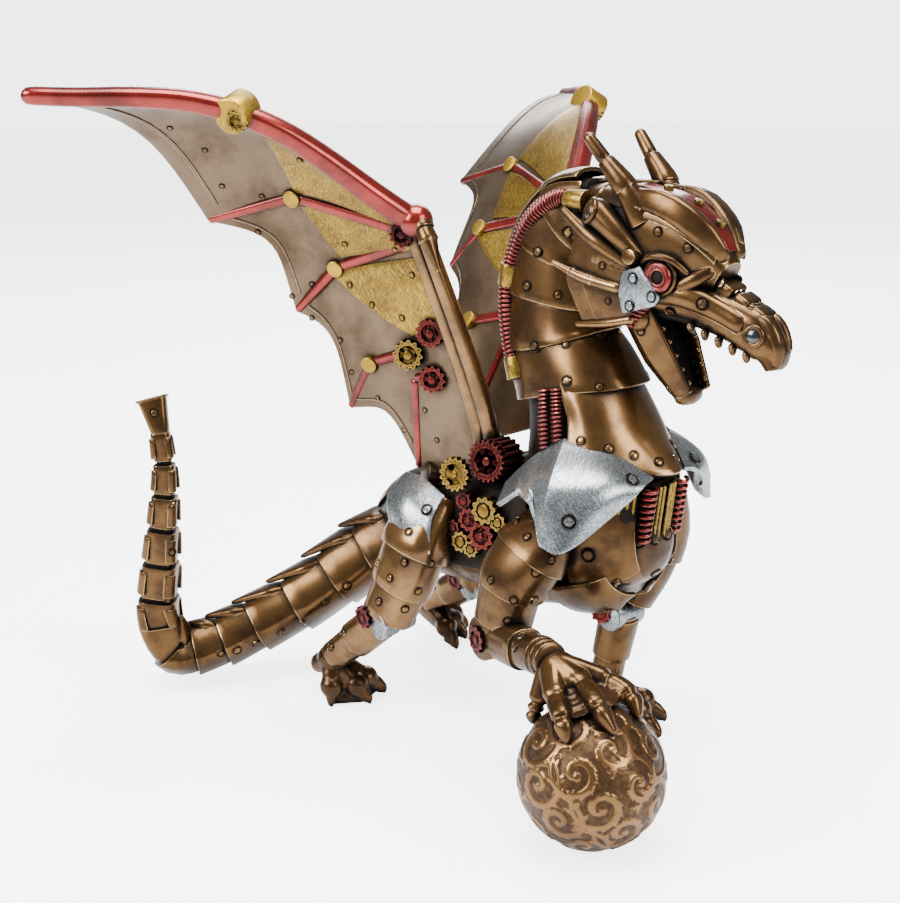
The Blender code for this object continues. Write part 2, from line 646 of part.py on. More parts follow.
def wing(side, name):
    """One wing: its sheet, arm, five jointed fingers, knuckle caps, thumb claw and small wheels."""
    parts = new_group(name + "_shapes")
    trims = new_group(name + "_trims")
    place = wing_place(side)

    def put(points):
        return [place @ p for p in sided(side, points)]

    casting = rod(name, put(WING_ARM), [6.0, 6.0, 5.4, 4.8], bpy.context.scene.collection, sides=8, steps=2)
    sheet("wing_sheet", [put(row) for row in wing_rows(3, 4)], MEMBRANE_THICKNESS, parts)
    thick = [(4.4, 3.8, 2.9), (2.6, 2.2, 1.8), (2.6, 2.2, 1.8), (2.4, 2.0, 1.7), (2.0, 1.9, 1.7)]
    for k, (root, knuckle, tip) in enumerate(zip(FINGER_ROOTS, KNUCKLES, FINGER_TIPS)):
        sides = 8 if k == 0 else 5
        rod(f"finger_{k}", put([root, knuckle, tip]), thick[k], parts, sides=sides)
    front = place.to_3x3() @ Vector((0.3, side * 0.9, -0.3))
    drum("cap", put([KNUCKLES[0]])[0], front, 6.0, 11, parts, sides=10)
    for knuckle in put(KNUCKLES[1:4]):
        drum("knuckle", knuckle, front, 3.2, 6, parts, sides=6)
    wrist_ball = [WING_WRIST - at(2, 0, 4), WING_WRIST + at(1, 0, 1), WING_WRIST + at(5, 0, 5)]
    rod("wrist_ball", put(wrist_ball), [4.8, 6.0, 3.2], parts)
    thumb = [WING_WRIST + at(2, 0, 0), WING_WRIST + at(8, -1, -7), WING_WRIST + at(13, -1, -15)]
    rod("thumb", put(thumb), [3.4, 2.8, 1.0], parts, sides=6)
    gear("arm_wheel", put([at(-48.5, -29, 152)])[0], front, 7.4, 7, 10, parts)
    gear("rib_wheel", put([at(-60, -29.5, 147)])[0], front, 6.2, 7, 10, parts)
    gear("low_wheel", put([at(-53, -27, 137)])[0], front, 5.4, 6, 10, parts)
    trunk("trunk_clearance", trims, clearance=SEAT_GAP)
    spare = SEAT_GAP / UNIT
    for where, direction, radius, length in hinge_works(side):
        drum("works_clearance", where, direction, radius + spare, length + 2 * spare, trims, sides=20)
    cast(casting, parts, WING_FACES_KEPT)
    boolean(casting, trims, "DIFFERENCE")
    casting.data.materials.append(finish("wing bronze", (0.33, 0.28, 0.22), 0.42))


def ball_shape(name, group, clearance=0.0):
    """The ball with its small flat below, or a whole ball that is larger by a clearance."""
    around, up, pole = 24, 12, 0.02
    radius = BALL_RADIUS + clearance
    low = pole if clearance else math.asin(BALL_FLAT_RADIUS / BALL_RADIUS)
    rings = []
    for k in range(up + 1):
        polar = math.pi - low - (math.pi - low - pole) * k / up
        centre = BALL_CENTRE + Vector((0, 0, math.cos(polar) * radius))
        r = math.sin(polar) * radius
        rings.append(ring(centre, Vector((1, 0, 0)), Vector((0, 1, 0)), r, r, around))
    return loft(name, rings, group)


def ball():
    casting = ball_shape("ball", bpy.context.scene.collection)
    casting.data.materials.append(finish("ball bronze", (0.36, 0.24, 0.14), 0.32))


for leftover in list(bpy.data.objects):
    bpy.data.objects.remove(leftover)
footprint = bpy.data.objects.new("footprint_middle", None)
bpy.context.scene.collection.objects.link(footprint)
footprint.location = at(-FOOTPRINT_MIDDLE[0], -FOOTPRINT_MIDDLE[1], 0)
body()
wing(-1, "right_wing")
wing(1, "left_wing")
ball()
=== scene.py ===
import math

import bpy
from mathutils import Matrix, Vector
from mathutils.kdtree import KDTree


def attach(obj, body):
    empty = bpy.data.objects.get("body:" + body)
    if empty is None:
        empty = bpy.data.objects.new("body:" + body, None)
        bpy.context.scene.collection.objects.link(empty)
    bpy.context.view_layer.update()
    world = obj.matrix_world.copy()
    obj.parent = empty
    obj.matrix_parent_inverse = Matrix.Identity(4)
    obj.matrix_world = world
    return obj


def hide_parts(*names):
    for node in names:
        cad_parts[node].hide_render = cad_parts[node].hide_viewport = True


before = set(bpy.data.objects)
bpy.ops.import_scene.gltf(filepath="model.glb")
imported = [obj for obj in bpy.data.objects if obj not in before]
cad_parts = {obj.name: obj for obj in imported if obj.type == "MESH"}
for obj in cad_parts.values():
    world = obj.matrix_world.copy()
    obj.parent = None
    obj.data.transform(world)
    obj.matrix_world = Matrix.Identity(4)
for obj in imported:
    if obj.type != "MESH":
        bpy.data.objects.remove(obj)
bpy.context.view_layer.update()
bpy.ops.object.select_all(action="DESELECT")


# The figurine stands on a plain white table under soft white light. The camera stands where the
# photograph's did: ahead of the dragon's right shoulder, a little above it, and close.
TABLE_RADIUS, TABLE_DROP = 4.0, 0.0002
bpy.ops.mesh.primitive_circle_add(vertices=96, radius=TABLE_RADIUS, fill_type="NGON",
                                  location=(0, 0, -TABLE_DROP))
table_top = bpy.context.object
table_top.name = "table_top"
table_paint = bpy.data.materials.new("white_table")
table_paint.use_nodes = True
table_shader = table_paint.node_tree.nodes["Principled BSDF"]
table_shader.inputs["Base Color"].default_value = (0.90, 0.91, 0.93, 1)
table_shader.inputs["Roughness"].default_value = 0.55
# Seen by the camera alone, the table glows, as it does where the photograph is overexposed
table_shader.inputs["Emission Color"].default_value = (3.5, 3.54, 3.6, 1)
table_ray = table_paint.node_tree.nodes.new("ShaderNodeLightPath")
table_paint.node_tree.links.new(table_ray.outputs["Is Camera Ray"], table_shader.inputs["Emission Strength"])
table_top.data.materials.append(table_paint)

for name, place, size, power, aim in (
    ("softbox_left", (-0.35, -1.00, 0.75), 0.60, 27.0, (0.0, 0.0, 0.10)),
    ("softbox_right", (1.05, 0.05, 0.70), 0.60, 14.0, (0.0, 0.0, 0.10)),
    ("softbox_above", (0.05, -0.05, 1.10), 0.70, 30.0, (0.0, 0.0, 0.0)),
    ("softbox_behind", (-0.70, 0.80, 0.80), 0.70, 14.0, (0.0, 0.0, 0.10)),
):
    bpy.ops.object.light_add(type="AREA", location=place)
    softbox = bpy.context.object
    softbox.name = name
    softbox.data.size = size
    softbox.data.energy = power
    softbox.rotation_euler = (Vector(aim) - Vector(place)).to_track_quat("-Z", "Y").to_euler()

# The world is white to the camera, and dim to the figure
SEEN_STRENGTH, CAST_STRENGTH = 4.25, 0.26
studio = bpy.data.worlds.new("white_studio")
bpy.context.scene.world = studio
studio.use_nodes = True
seen_white = studio.node_tree.nodes["Background"]
seen_white.inputs["Color"].default_value = (1, 1, 1, 1)
seen_white.inputs["Strength"].default_value = SEEN_STRENGTH
cast_white = studio.node_tree.nodes.new("ShaderNodeBackground")
cast_white.inputs["Color"].default_value = (0.93, 0.96, 1.0, 1)
cast_white.inputs["Strength"].default_value = CAST_STRENGTH
by_camera = studio.node_tree.nodes.new("ShaderNodeMixShader")
ray_kind = studio.node_tree.nodes.new("ShaderNodeLightPath")
studio.node_tree.links.new(ray_kind.outputs["Is Camera Ray"], by_camera.inputs["Fac"])
studio.node_tree.links.new(cast_white.outputs["Background"], by_camera.inputs[1])
studio.node_tree.links.new(seen_white.outputs["Background"], by_camera.inputs[2])
studio.node_tree.links.new(by_camera.outputs["Shader"],
                           studio.node_tree.nodes["World Output"].inputs["Surface"])

bpy.ops.object.camera_add(location=(0.37305, -0.42445, 0.262),
                          rotation=(math.radians(74.4), 0, math.radians(43.7)))
camera = bpy.context.object
camera.data.sensor_width = 36
camera.data.lens = 59.8
camera.data.clip_start = 0.01
bpy.context.scene.camera = camera
bpy.context.view_layer.update()
# The photograph's width and height in pixels, and how far off its picture plane lies, in pixels too
VIEW_WIDTH, VIEW_HEIGHT, VIEW_SPREAD = 900, 903, 1500


# The trunk is the casting's core. Its back and flanks are bronze-painted resin, with lapped plates
# bolted round the breast and belly, and a dark wash in all gaps, deepened there as painted shade.
MM = 0.001
SHIFT_X, SHIFT_Y = 41.05, -5.45  # from the middle of the footprint to the figure's own middle, in mm


def at(x, y, z):
    """A place on the figure: X ahead, Y to the dragon's left from its middle plane, Z up."""
    return Vector((x + SHIFT_X, y + SHIFT_Y, z)) * MM


def flip(p):
    """The same place on the dragon's other side."""
    return Vector((p.x, 2 * SHIFT_Y * MM - p.y, p.z))


def to_side(side, line):
    """A line drawn on the right side, or on the left where side is 1."""
    return [flip(p) for p in line] if side > 0 else list(line)


def curve_at(points, t):
    """The point at share t of a smooth curve through the points."""
    spans = len(points) - 1
    k = min(int(t * spans), spans - 1)
    s = t * spans - k
    here, there = points[k], points[k + 1]
    before = points[k - 1] if k > 0 else here * 2 - there
    after = points[k + 2] if k + 2 <= spans else there * 2 - here
    return 0.5 * (
        here * 2
        + (there - before) * s
        + (before * 2 - here * 5 + there * 4 - after) * s * s
        + (here * 3 - before - there * 3 + after) * s * s * s
    )


def between(values, t):
    """A straight blend along a list of numbers or of tuples."""
    spans = len(values) - 1
    k = min(int(t * spans), spans - 1)
    s = t * spans - k
    if isinstance(values[0], tuple):
        return tuple(a * (1 - s) + b * s for a, b in zip(values[k], values[k + 1]))
    return values[k] * (1 - s) + values[k + 1] * s


def swept(marks, down, across):
    """The rows of a smooth surface through a grid of marks."""
    rows = []
    for k in range(down + 1):
        line = [curve_at([row[i] for row in marks], k / down) for i in range(len(marks[0]))]
        rows.append([curve_at(line, i / across) for i in range(across + 1)])
    return rows


def skin(name, rows, tube=True):
    """A grid whose points are laid on the rows. A tube's long edges meet, and its ends are closed."""
    across = len(rows[0]) + (1 if tube else 0)
    bpy.ops.mesh.primitive_grid_add(x_subdivisions=across - 1, y_subdivisions=len(rows) - 1, size=1)
    piece = bpy.context.object
    piece.name = name
    flat = []
    for row in rows:
        for p in list(row) + ([row[0]] if tube else []):
            flat.extend(p)
    piece.data.vertices.foreach_set("co", flat)
    if tube:
        bpy.ops.object.mode_set(mode="EDIT")
        bpy.ops.mesh.select_all(action="SELECT")
        bpy.ops.mesh.remove_doubles(threshold=0.000002)
        bpy.ops.mesh.fill_holes(sides=0)
        bpy.ops.mesh.normals_make_consistent(inside=False)
        bpy.ops.object.mode_set(mode="OBJECT")
    piece.select_set(False)
    return piece


def harden(piece, kind, **settings):
    """Adds a modifier and applies it."""
    bpy.context.view_layer.objects.active = piece
    made = piece.modifiers.new(kind.lower(), kind)
    for key, value in settings.items():
        setattr(made, key, value)
    bpy.ops.object.modifier_apply(modifier=made.name)
    return piece


def soften(piece, width, segments=2, angle=30):
    """Rounds a piece's hard edges, as a cast edge is."""
    return harden(piece, "BEVEL", width=width * MM, segments=segments, limit_method="ANGLE",
                  angle_limit=math.radians(angle), use_clamp_overlap=True, harden_normals=False)


def sheet(name, rows, thick, edge=0.25, inward=-1.0):
    """A curved plate: its rows are its outer face, and its edges are rounded."""
    piece = skin(name, rows, tube=False)
    harden(piece, "SOLIDIFY", thickness=thick * MM, offset=inward, use_even_offset=False)
    return soften(piece, edge) if edge else piece


class Limb:
    """A tapering form along a curve: its line, the half sizes of its section, and which way is up."""

    def __init__(self, line, halves, up=(0, 0, 1), square=0.8, keel=0.0):
        self.line = line
        self.halves = halves
        self.up = Vector(up)
        self.square = square
        self.keel = keel

    def axes(self, t):
        """The way ahead, the way to the side and the way up at share t."""
        ahead = curve_at(self.line, min(t + 0.01, 1)) - curve_at(self.line, max(t - 0.01, 0))
        ahead.normalize()
        side = ahead.cross(self.up).normalized()
        return ahead, side, side.cross(ahead)

    def on(self, t, turn, lift=0.0):
        """The place on the skin at share t and at a turn in degrees from its up side."""
        _, side, raised = self.axes(t)
        half_side, half_up = between(self.halves, t)
        s, u = math.sin(math.radians(turn)), math.cos(math.radians(turn))
        across = math.copysign(abs(s) ** self.square, s) * (half_side + lift)
        along = math.copysign(abs(u) ** self.square, u) * (half_up + lift)
        along += self.keel * max(0.0, u) ** 6 * half_up
        return curve_at(self.line, t) + (side * across + raised * along) * MM

    def tube(self, name, start=0.0, end=1.0, steps=8, sides=24, lifts=(0.0, 0.0)):
        """A closed length of the form, thicker by a lift that runs from one end to the other."""
        rows = []
        for k in range(steps + 1):
            t = start + (end - start) * k / steps
            lift = between(lifts, k / steps)
            rows.append([self.on(t, 360 * i / sides, lift) for i in range(sides)])
        return skin(name, rows)

    def plate(self, name, t0, t1, turn0, turn1, lift=1.0, thick=1.2, steps=(5, 10), skew=0.0, edge=0.3):
        """A curved plate on the form, between two shares and two turns. skew slides its far edge along."""
        rows = []
        for k in range(steps[0] + 1):
            share = k / steps[0]
            row = []
            for i in range(steps[1] + 1):
                across = i / steps[1]
                t = min(max(t0 + (t1 - t0) * share + skew * across, 0.0), 1.0)
                row.append(self.on(t, turn0 + (turn1 - turn0) * across, lift))
            rows.append(row)
        return sheet(name, rows, thick, edge)


def put(tree, kind, settings=(), **inputs):
    """Adds a shader node, and sets or links its inputs, by name or as i and a number."""
    made = tree.nodes.new("ShaderNode" + kind)
    for key, value in dict(settings).items():
        setattr(made, key, value)
    for key, value in inputs.items():
        numbered = key[0] == "i" and key[1:].isdigit()
        into = made.inputs[int(key[1:]) if numbered else key.replace("_", " ")]
        if isinstance(value, bpy.types.NodeSocket):
            tree.links.new(value, into)
        else:
            into.default_value = value
    return made


def new_group(name, inputs, outputs):
    """A shader node group with named inputs and outputs."""
    group = bpy.data.node_groups.new(name, "ShaderNodeTree")
    for label, kind, value in inputs:
        made = group.interface.new_socket(label, in_out="INPUT", socket_type="NodeSocket" + kind)
        made.default_value = value
    for label, kind in outputs:
        group.interface.new_socket(label, in_out="OUTPUT", socket_type="NodeSocket" + kind)
    return group, group.nodes.new("NodeGroupInput").outputs, group.nodes.new("NodeGroupOutput").inputs


def masked(tree, value, low, high):
    """A mask that rises from 0 to 1 between two values."""
    return put(tree, "MapRange", {"interpolation_type": "SMOOTHSTEP"}, Value=value, From_Min=low,
               From_Max=high).outputs["Result"]


def worked(tree, a, b, operation="ADD"):
    """The sum of two values, or another operation on them."""
    return put(tree, "Math", {"operation": operation, "use_clamp": False}, i0=a, i1=b).outputs["Value"]


def laid_over(tree, share, under, over):
    """One colour laid over another by a share."""
    return put(tree, "MixRGB", Fac=share, Color1=under, Color2=over).outputs["Color"]


# Aged paint: cloudy patches of two tones, bright rubbed edges, and a dark colour in the recesses that is
# partly a dark wash and partly painted shade
aged_paint, given, gives = new_group(
    "aged_paint",
    [("Paint", "Color", (0.3, 0.2, 0.1, 1)), ("Deep", "Color", (0.1, 0.06, 0.03, 1)),
     ("Rubbed", "Color", (0.6, 0.45, 0.3, 1)), ("Wash_and_shade", "Color", (0.02, 0.015, 0.01, 1)),
     ("Edge", "Float", 0.0), ("Recess", "Float", 0.0), ("Clouds", "Float", 60.0), ("Sheen", "Float", 0.35)],
    [("Color", "Color"), ("Roughness", "Float"), ("Height", "Float")],
)
spot = put(aged_paint, "TexCoord").outputs["Object"]
clouds = put(aged_paint, "TexNoise", Vector=spot, Scale=given["Clouds"], Detail=5.0,
             Roughness=0.62).outputs["Fac"]
grit = put(aged_paint, "TexNoise", Vector=spot, Scale=520.0, Detail=4.0, Roughness=0.6).outputs["Fac"]
speck = put(aged_paint, "TexNoise", Vector=spot, Scale=1900.0, Detail=2.0).outputs["Fac"]
ragged = worked(aged_paint, grit, 0.5, "SUBTRACT")
rub = masked(aged_paint, worked(aged_paint, given["Edge"], ragged), 0.28, 0.75)
# The recesses are darkened partly by a dark wash and partly as painted shade
washed_and_shaded = worked(aged_paint, given["Recess"], worked(aged_paint, ragged, 0.5, "MULTIPLY"))
wash_and_shade_share = masked(aged_paint, washed_and_shaded, 0.22, 0.72)
tone = laid_over(aged_paint, masked(aged_paint, clouds, 0.38, 0.68), given["Paint"], given["Deep"])
tone = laid_over(aged_paint, rub, tone, given["Rubbed"])
tone = laid_over(aged_paint, wash_and_shade_share, tone, given["Wash_and_shade"])
aged_paint.links.new(tone, gives["Color"])
dull = worked(aged_paint, worked(aged_paint, clouds, 0.22, "MULTIPLY"),
              worked(aged_paint, wash_and_shade_share, 0.25, "MULTIPLY"))
dull = worked(aged_paint, dull, worked(aged_paint, rub, 0.10, "MULTIPLY"), "SUBTRACT")
aged_paint.links.new(worked(aged_paint, dull, given["Sheen"]), gives["Roughness"])
bumps = worked(aged_paint, worked(aged_paint, grit, 0.6, "MULTIPLY"),
               worked(aged_paint, speck, 0.4, "MULTIPLY"))
aged_paint.links.new(bumps, gives["Height"])

# Brush strokes: long fine streaks laid over one another at several slants
brush_strokes, given, gives = new_group(
    "brush_strokes", [("Length", "Float", 40.0), ("Fineness", "Float", 2300.0)],
    [("Streaks", "Float"), ("Scratches", "Float")],
)
spot = put(brush_strokes, "TexCoord").outputs["Object"]
stroke_sets = []
for slant in ((0.4, 0.9, 0.5), (-0.7, 0.5, 1.3), (1.1, -0.3, 2.3)):
    turned = put(brush_strokes, "VectorRotate", {"rotation_type": "EULER_XYZ"}, Vector=spot, Rotation=slant)
    size = put(brush_strokes, "CombineXYZ", X=given["Length"], Y=given["Fineness"], Z=given["Fineness"])
    scaled = put(brush_strokes, "VectorMath", {"operation": "MULTIPLY"}, i0=turned.outputs["Vector"],
                 i1=size.outputs["Vector"])
    stroke_sets.append(put(brush_strokes, "TexNoise", Vector=scaled.outputs["Vector"], Scale=1.0,
                           Detail=3.0, Roughness=0.55).outputs["Fac"])
both = worked(brush_strokes, stroke_sets[0], stroke_sets[1], "MULTIPLY")
brush_strokes.links.new(masked(brush_strokes, both, 0.14, 0.40), gives["Streaks"])
brush_strokes.links.new(masked(brush_strokes, stroke_sets[2], 0.56, 0.72), gives["Scratches"])


def metal(name, paint, deep, rubbed, wash_and_shade_dark=(0.012, 0.009, 0.007), sheen=0.34, metallic=0.85, clouds=60.0,
          wear=7.0, wash_and_shade_depth=1.9, reach=5.0, bump=0.05, strokes=None, coat=0.0, carved=False):
    """A painted metal finish.

    wear says how far edges are rubbed, and the recess depth how far recesses darken towards the darkest
    colour, partly as dark paint left in them and partly as painted shade. reach says how wide a recess may
    be.
    strokes gives the strength of dark brush strokes and their length, and carved darkens the ball's ground.
    """
    made = bpy.data.materials.new(name)
    made.use_nodes = True
    tree = made.node_tree
    shader = tree.nodes["Principled BSDF"]
    shader.inputs["Metallic"].default_value = metallic
    shader.inputs["Coat Weight"].default_value = coat
    shader.inputs["Coat Roughness"].default_value = 0.18
    rounded = put(tree, "Bevel", {"samples": 4}, Radius=0.7 * MM).outputs["Normal"]
    true = put(tree, "NewGeometry").outputs["Normal"]
    same = put(tree, "VectorMath", {"operation": "DOT_PRODUCT"}, i0=rounded, i1=true).outputs["Value"]
    # An edge shows where the rounded normal leaves the true one, and a recess where little of the sky is open
    edge = worked(tree, worked(tree, 1.0, same, "SUBTRACT"), wear, "MULTIPLY")
    open_share = put(tree, "AmbientOcclusion", {"samples": 5}, Distance=reach * MM).outputs["AO"]
    # Recesses darken partly as dark paint left in them and partly as painted shade
    recess = worked(tree, worked(tree, 1.0, open_share, "SUBTRACT"), wash_and_shade_depth, "MULTIPLY")
    edge = worked(tree, edge, worked(tree, 1.0, recess, "SUBTRACT"), "MULTIPLY")
    if carved:
        raised = put(tree, "Attribute", {"attribute_name": "relief"}).outputs["Fac"]
        ground = worked(tree, worked(tree, 1.0, raised, "SUBTRACT"), 0.58, "MULTIPLY")
        recess = worked(tree, recess, ground)
    aged = tree.nodes.new("ShaderNodeGroup")
    aged.node_tree = aged_paint
    for key, value in (("Paint", paint), ("Deep", deep), ("Rubbed", rubbed), ("Wash_and_shade", wash_and_shade_dark)):
        aged.inputs[key].default_value = (*value, 1)
    aged.inputs["Clouds"].default_value = clouds
    aged.inputs["Sheen"].default_value = sheen
    tree.links.new(edge, aged.inputs["Edge"])
    tree.links.new(recess, aged.inputs["Recess"])
    colour = aged.outputs["Color"]
    height = aged.outputs["Height"]
    if strokes:
        brushed = tree.nodes.new("ShaderNodeGroup")
        brushed.node_tree = brush_strokes
        brushed.inputs["Length"].default_value = strokes[1]
        kept = worked(tree, worked(tree, brushed.outputs["Streaks"], strokes[0], "MULTIPLY"),
                      1.0 - strokes[0])
        colour = laid_over(tree, kept, (*wash_and_shade_dark, 1), colour)
        bright = worked(tree, brushed.outputs["Scratches"], 0.45, "MULTIPLY")
        colour = laid_over(tree, bright, colour, (*rubbed, 1))
        height = worked(tree, height, brushed.outputs["Streaks"])
    tree.links.new(colour, shader.inputs["Base Color"])
    tree.links.new(aged.outputs["Roughness"], shader.inputs["Roughness"])
    bumped = put(tree, "Bump", Height=height, Strength=0.35, Distance=bump * MM)
    tree.links.new(bumped.outputs["Normal"], shader.inputs["Normal"])
    return made


bronze = metal("aged_bronze", (0.118, 0.060, 0.020), (0.042, 0.020, 0.008), (0.64, 0.42, 0.19), sheen=0.15)
# A darker copy of the bronze, as painted shade: for the trunk's core where it shows between the plates, and
# for the drums in the flanks
bronze_in_painted_shade = metal("shaded_bronze", (0.060, 0.032, 0.015), (0.026, 0.014, 0.007), (0.32, 0.20, 0.10),
                    sheen=0.22)
gold_bronze = metal("golden_bronze", (0.225, 0.118, 0.038), (0.095, 0.045, 0.014), (0.80, 0.57, 0.28),
                    sheen=0.11, coat=0.25)
silver = metal("brushed_silver", (0.42, 0.45, 0.46), (0.22, 0.25, 0.26), (0.92, 0.95, 0.96),
               (0.03, 0.03, 0.035), sheen=0.16, strokes=(0.74, 130.0), bump=0.05)
gold = metal("brushed_gold", (0.40, 0.235, 0.030), (0.21, 0.115, 0.016), (0.88, 0.66, 0.16),
             (0.030, 0.018, 0.005), sheen=0.22, strokes=(0.74, 150.0), bump=0.05)
red = metal("red_enamel", (0.25, 0.020, 0.013), (0.10, 0.007, 0.005), (0.70, 0.20, 0.12),
            (0.015, 0.003, 0.003), sheen=0.14, metallic=0.75, coat=0.3)
black = metal("black_paint_and_shade", (0.016, 0.011, 0.008), (0.008, 0.006, 0.005), (0.10, 0.06, 0.03),
              (0.002, 0.002, 0.002), sheen=0.45, metallic=0.9, wear=5.0)


def done(name, pieces, finish, node="dragon_body", angle=38):
    """Joins pieces into one under a name, paints it, and fixes it to the figure in place of its casting."""
    bpy.ops.object.select_all(action="DESELECT")
    for piece in pieces:
        piece.select_set(True)
        if not piece.data.materials:
            piece.data.materials.append(finish)
        elif piece.data.materials[0] is None:
            piece.data.materials[0] = finish
    bpy.context.view_layer.objects.active = pieces[0]
    if len(pieces) > 1:
        bpy.ops.object.join()
    made = bpy.context.view_layer.objects.active
    made.name = name
    made.data.name = name
    bpy.ops.object.transform_apply(location=True, rotation=True, scale=True)
    bpy.ops.object.shade_smooth_by_angle(angle=math.radians(angle))
    made.select_set(False)
    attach(made, "root")
    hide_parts(node)
    return made


trunk = Limb(
    [at(-103, 0, 57), at(-94, 0, 63), at(-80, 0, 70), at(-60, 0, 75), at(-38, 0, 78), at(-16, 0, 82),
     at(6, 0, 87), at(20, 0, 90), at(30, 0, 91), at(35, 0, 92)],
    [(8, 9), (14, 14), (20, 20), (24, 23), (24, 25), (25, 27), (27, 29), (24, 27), (15, 19), (8, 10)],
    square=0.85,
)
# The trunk's core is the bronze darkened as painted shade
core = done("trunk_core", [trunk.tube("trunk_core", steps=40, sides=40, lifts=(-0.4, -0.4))], bronze_in_painted_shade)

plates = []
for k, (x, z, wide, high) in enumerate(((22, 82, 20, 15), (15, 77, 23, 15), (7, 73, 25, 15))):
    belly = Limb([at(x + 8, 0, z + 4), at(x, 0, z), at(x - 14, 0, z - 3)],
                 [(wide - 7, high - 5), (wide, high), (wide + 1, high)])
    plates.append(soften(belly.tube("belly_plate", steps=8, sides=32), 0.5))
for start, end, lift in ((0.28, 0.40, 0.9), (0.39, 0.51, 0.6), (0.50, 0.62, 0.9)):
    plates.append(trunk.plate("belly_band", start, end, 118, 242, lift=lift, thick=1.4, steps=(3, 16)))
for side in (-1, 1):
    plates.append(trunk.plate("breast_plate", 0.70, 0.93, side * 132, side * 66, lift=1.4, thick=1.6,
                              skew=0.03, steps=(6, 10)))
    plates.append(trunk.plate("breast_lap", 0.66, 0.86, side * 165, side * 118, lift=2.4, thick=1.6,
                              skew=-0.03))
for start, end in ((0.12, 0.22), (0.21, 0.32), (0.31, 0.43), (0.42, 0.55), (0.54, 0.68)):
    plates.append(trunk.plate("back_plate", start, end, -48, 48, lift=1.1 + start, thick=1.4, steps=(3, 14)))
trunk_plates = done("trunk_plates", plates, bronze)


# The studs are cast with the plates: domed rivets in a sunk ring, flat bolts, and screws with one slot.
# Each kind is made once at a radius of one, and copied to its places.
# Each kind's groove and head as three insets, each with the rise after it, and where the groove is painted
# black as painted shade
STUD_STEPS = {"rivet": (0.13, -0.50, 0.24, 0.60, 0.20, 0.14), "bolt": (0.12, -0.44, 0.22, 0.50, 0.12, 0.05),
              "screw": (0.12, -0.50, 0.20, 0.62, 0.12, 0.08)}
GROOVE_IN, GROOVE_OUT, GROOVE_LOW = 0.60, 0.875, -0.3
SLOT_SIZE, SLOT_HEIGHT = (1.7, 0.26, 0.40), 0.62
STUD_SPREAD, STUD_RISE = 1.18, 0.55


def pick_faces(piece, wanted):
    """Goes into edit mode with only the wanted faces selected."""
    bpy.ops.object.mode_set(mode="EDIT")
    bpy.ops.mesh.select_mode(type="FACE")
    bpy.ops.mesh.select_all(action="DESELECT")
    bpy.ops.object.mode_set(mode="OBJECT")
    for face in piece.data.polygons:
        face.select = wanted(face)
    bpy.ops.object.mode_set(mode="EDIT")


def set_up(piece, place, facing, wide=1.0, high=1.0, turn=0.0):
    """Seats a shape that was made round Z: at a place, facing a way, and wide and high times as large."""
    stand = facing.to_track_quat("Z", "Y").to_matrix().to_4x4() @ Matrix.Rotation(math.radians(turn), 4, "Z")
    piece.data.transform(Matrix.Translation(place) @ stand @ Matrix.Diagonal((wide, wide, high, 1)))
    piece.select_set(False)
    return piece


def stud_shape(kind):
    """A round boss of radius one: its ring, the groove inside it, and its head."""
    bpy.ops.mesh.primitive_cylinder_add(vertices=20, radius=1, depth=0.8, location=(0, 0, 0))
    shape = bpy.context.object
    shape.name = kind
    pick_faces(shape, lambda face: face.normal.z > 0.9)
    for inset, rise in zip(STUD_STEPS[kind][0::2], STUD_STEPS[kind][1::2]):
        bpy.ops.mesh.inset(thickness=inset)
        bpy.ops.transform.translate(value=(0, 0, rise))
    bpy.ops.object.mode_set(mode="OBJECT")
    if kind == "screw":
        bpy.ops.mesh.primitive_cube_add(size=1, location=(0, 0, SLOT_HEIGHT))
        slot = bpy.context.object
        slot.dimensions = SLOT_SIZE
        bpy.ops.object.transform_apply(location=True, rotation=True, scale=True)
        harden(shape, "BOOLEAN", object=slot, operation="DIFFERENCE")
        bpy.data.objects.remove(slot)
    shape.data.materials.append(None)
    shape.data.materials.append(black)
    # The sunk groove round the head takes the black finish, as painted shade
    for face in shape.data.polygons:
        if GROOVE_IN < face.center.xy.length < GROOVE_OUT and face.center.z > GROOVE_LOW:
            face.material_index = 1
    shape.hide_render = True
    shape.select_set(False)
    return shape


stud_kinds = {kind: stud_shape(kind) for kind in STUD_STEPS}


def stud(kind, place, out, radius, turn=30.0):
    """A copy of a stud, seated on a surface that faces out."""
    made = stud_kinds[kind].copy()
    made.data = stud_kinds[kind].data.copy()
    made.hide_render = False
    bpy.context.scene.collection.objects.link(made)
    return set_up(made, place, out, radius * STUD_SPREAD * MM, radius * STUD_RISE * MM, turn)


def sight(px, py):
    """The camera's place, and the way that it looks at a pixel of the photograph."""
    eye = camera.matrix_world
    return eye.translation, eye.to_3x3() @ Vector((px - VIEW_WIDTH / 2, VIEW_HEIGHT / 2 - py, -VIEW_SPREAD))


def looked_at(px, py, pieces):
    """The place and facing of what the camera sees at a pixel, on any of the pieces."""
    eye, way = sight(px, py)
    best = None
    for piece in pieces:
        hit, place, facing, _ = piece.ray_cast(eye, way.normalized())
        if hit and (best is None or (place - eye).length < best[2]):
            best = (place, facing, (place - eye).length)
    return best


def studs_at(kind, radius, pixels, pieces, both_sides=False, turn=30.0):
    """Studs on the pieces at the photograph's pixels, and their mirror images on the other side."""
    made = []
    for px, py in pixels:
        seen = looked_at(px, py, pieces)
        if seen:
            place, facing, _ = seen
            made.append(stud(kind, place, facing, radius, turn))
            if both_sides:
                made.append(stud(kind, flip(place), Vector((facing.x, -facing.y, facing.z)), radius, turn))
    return made


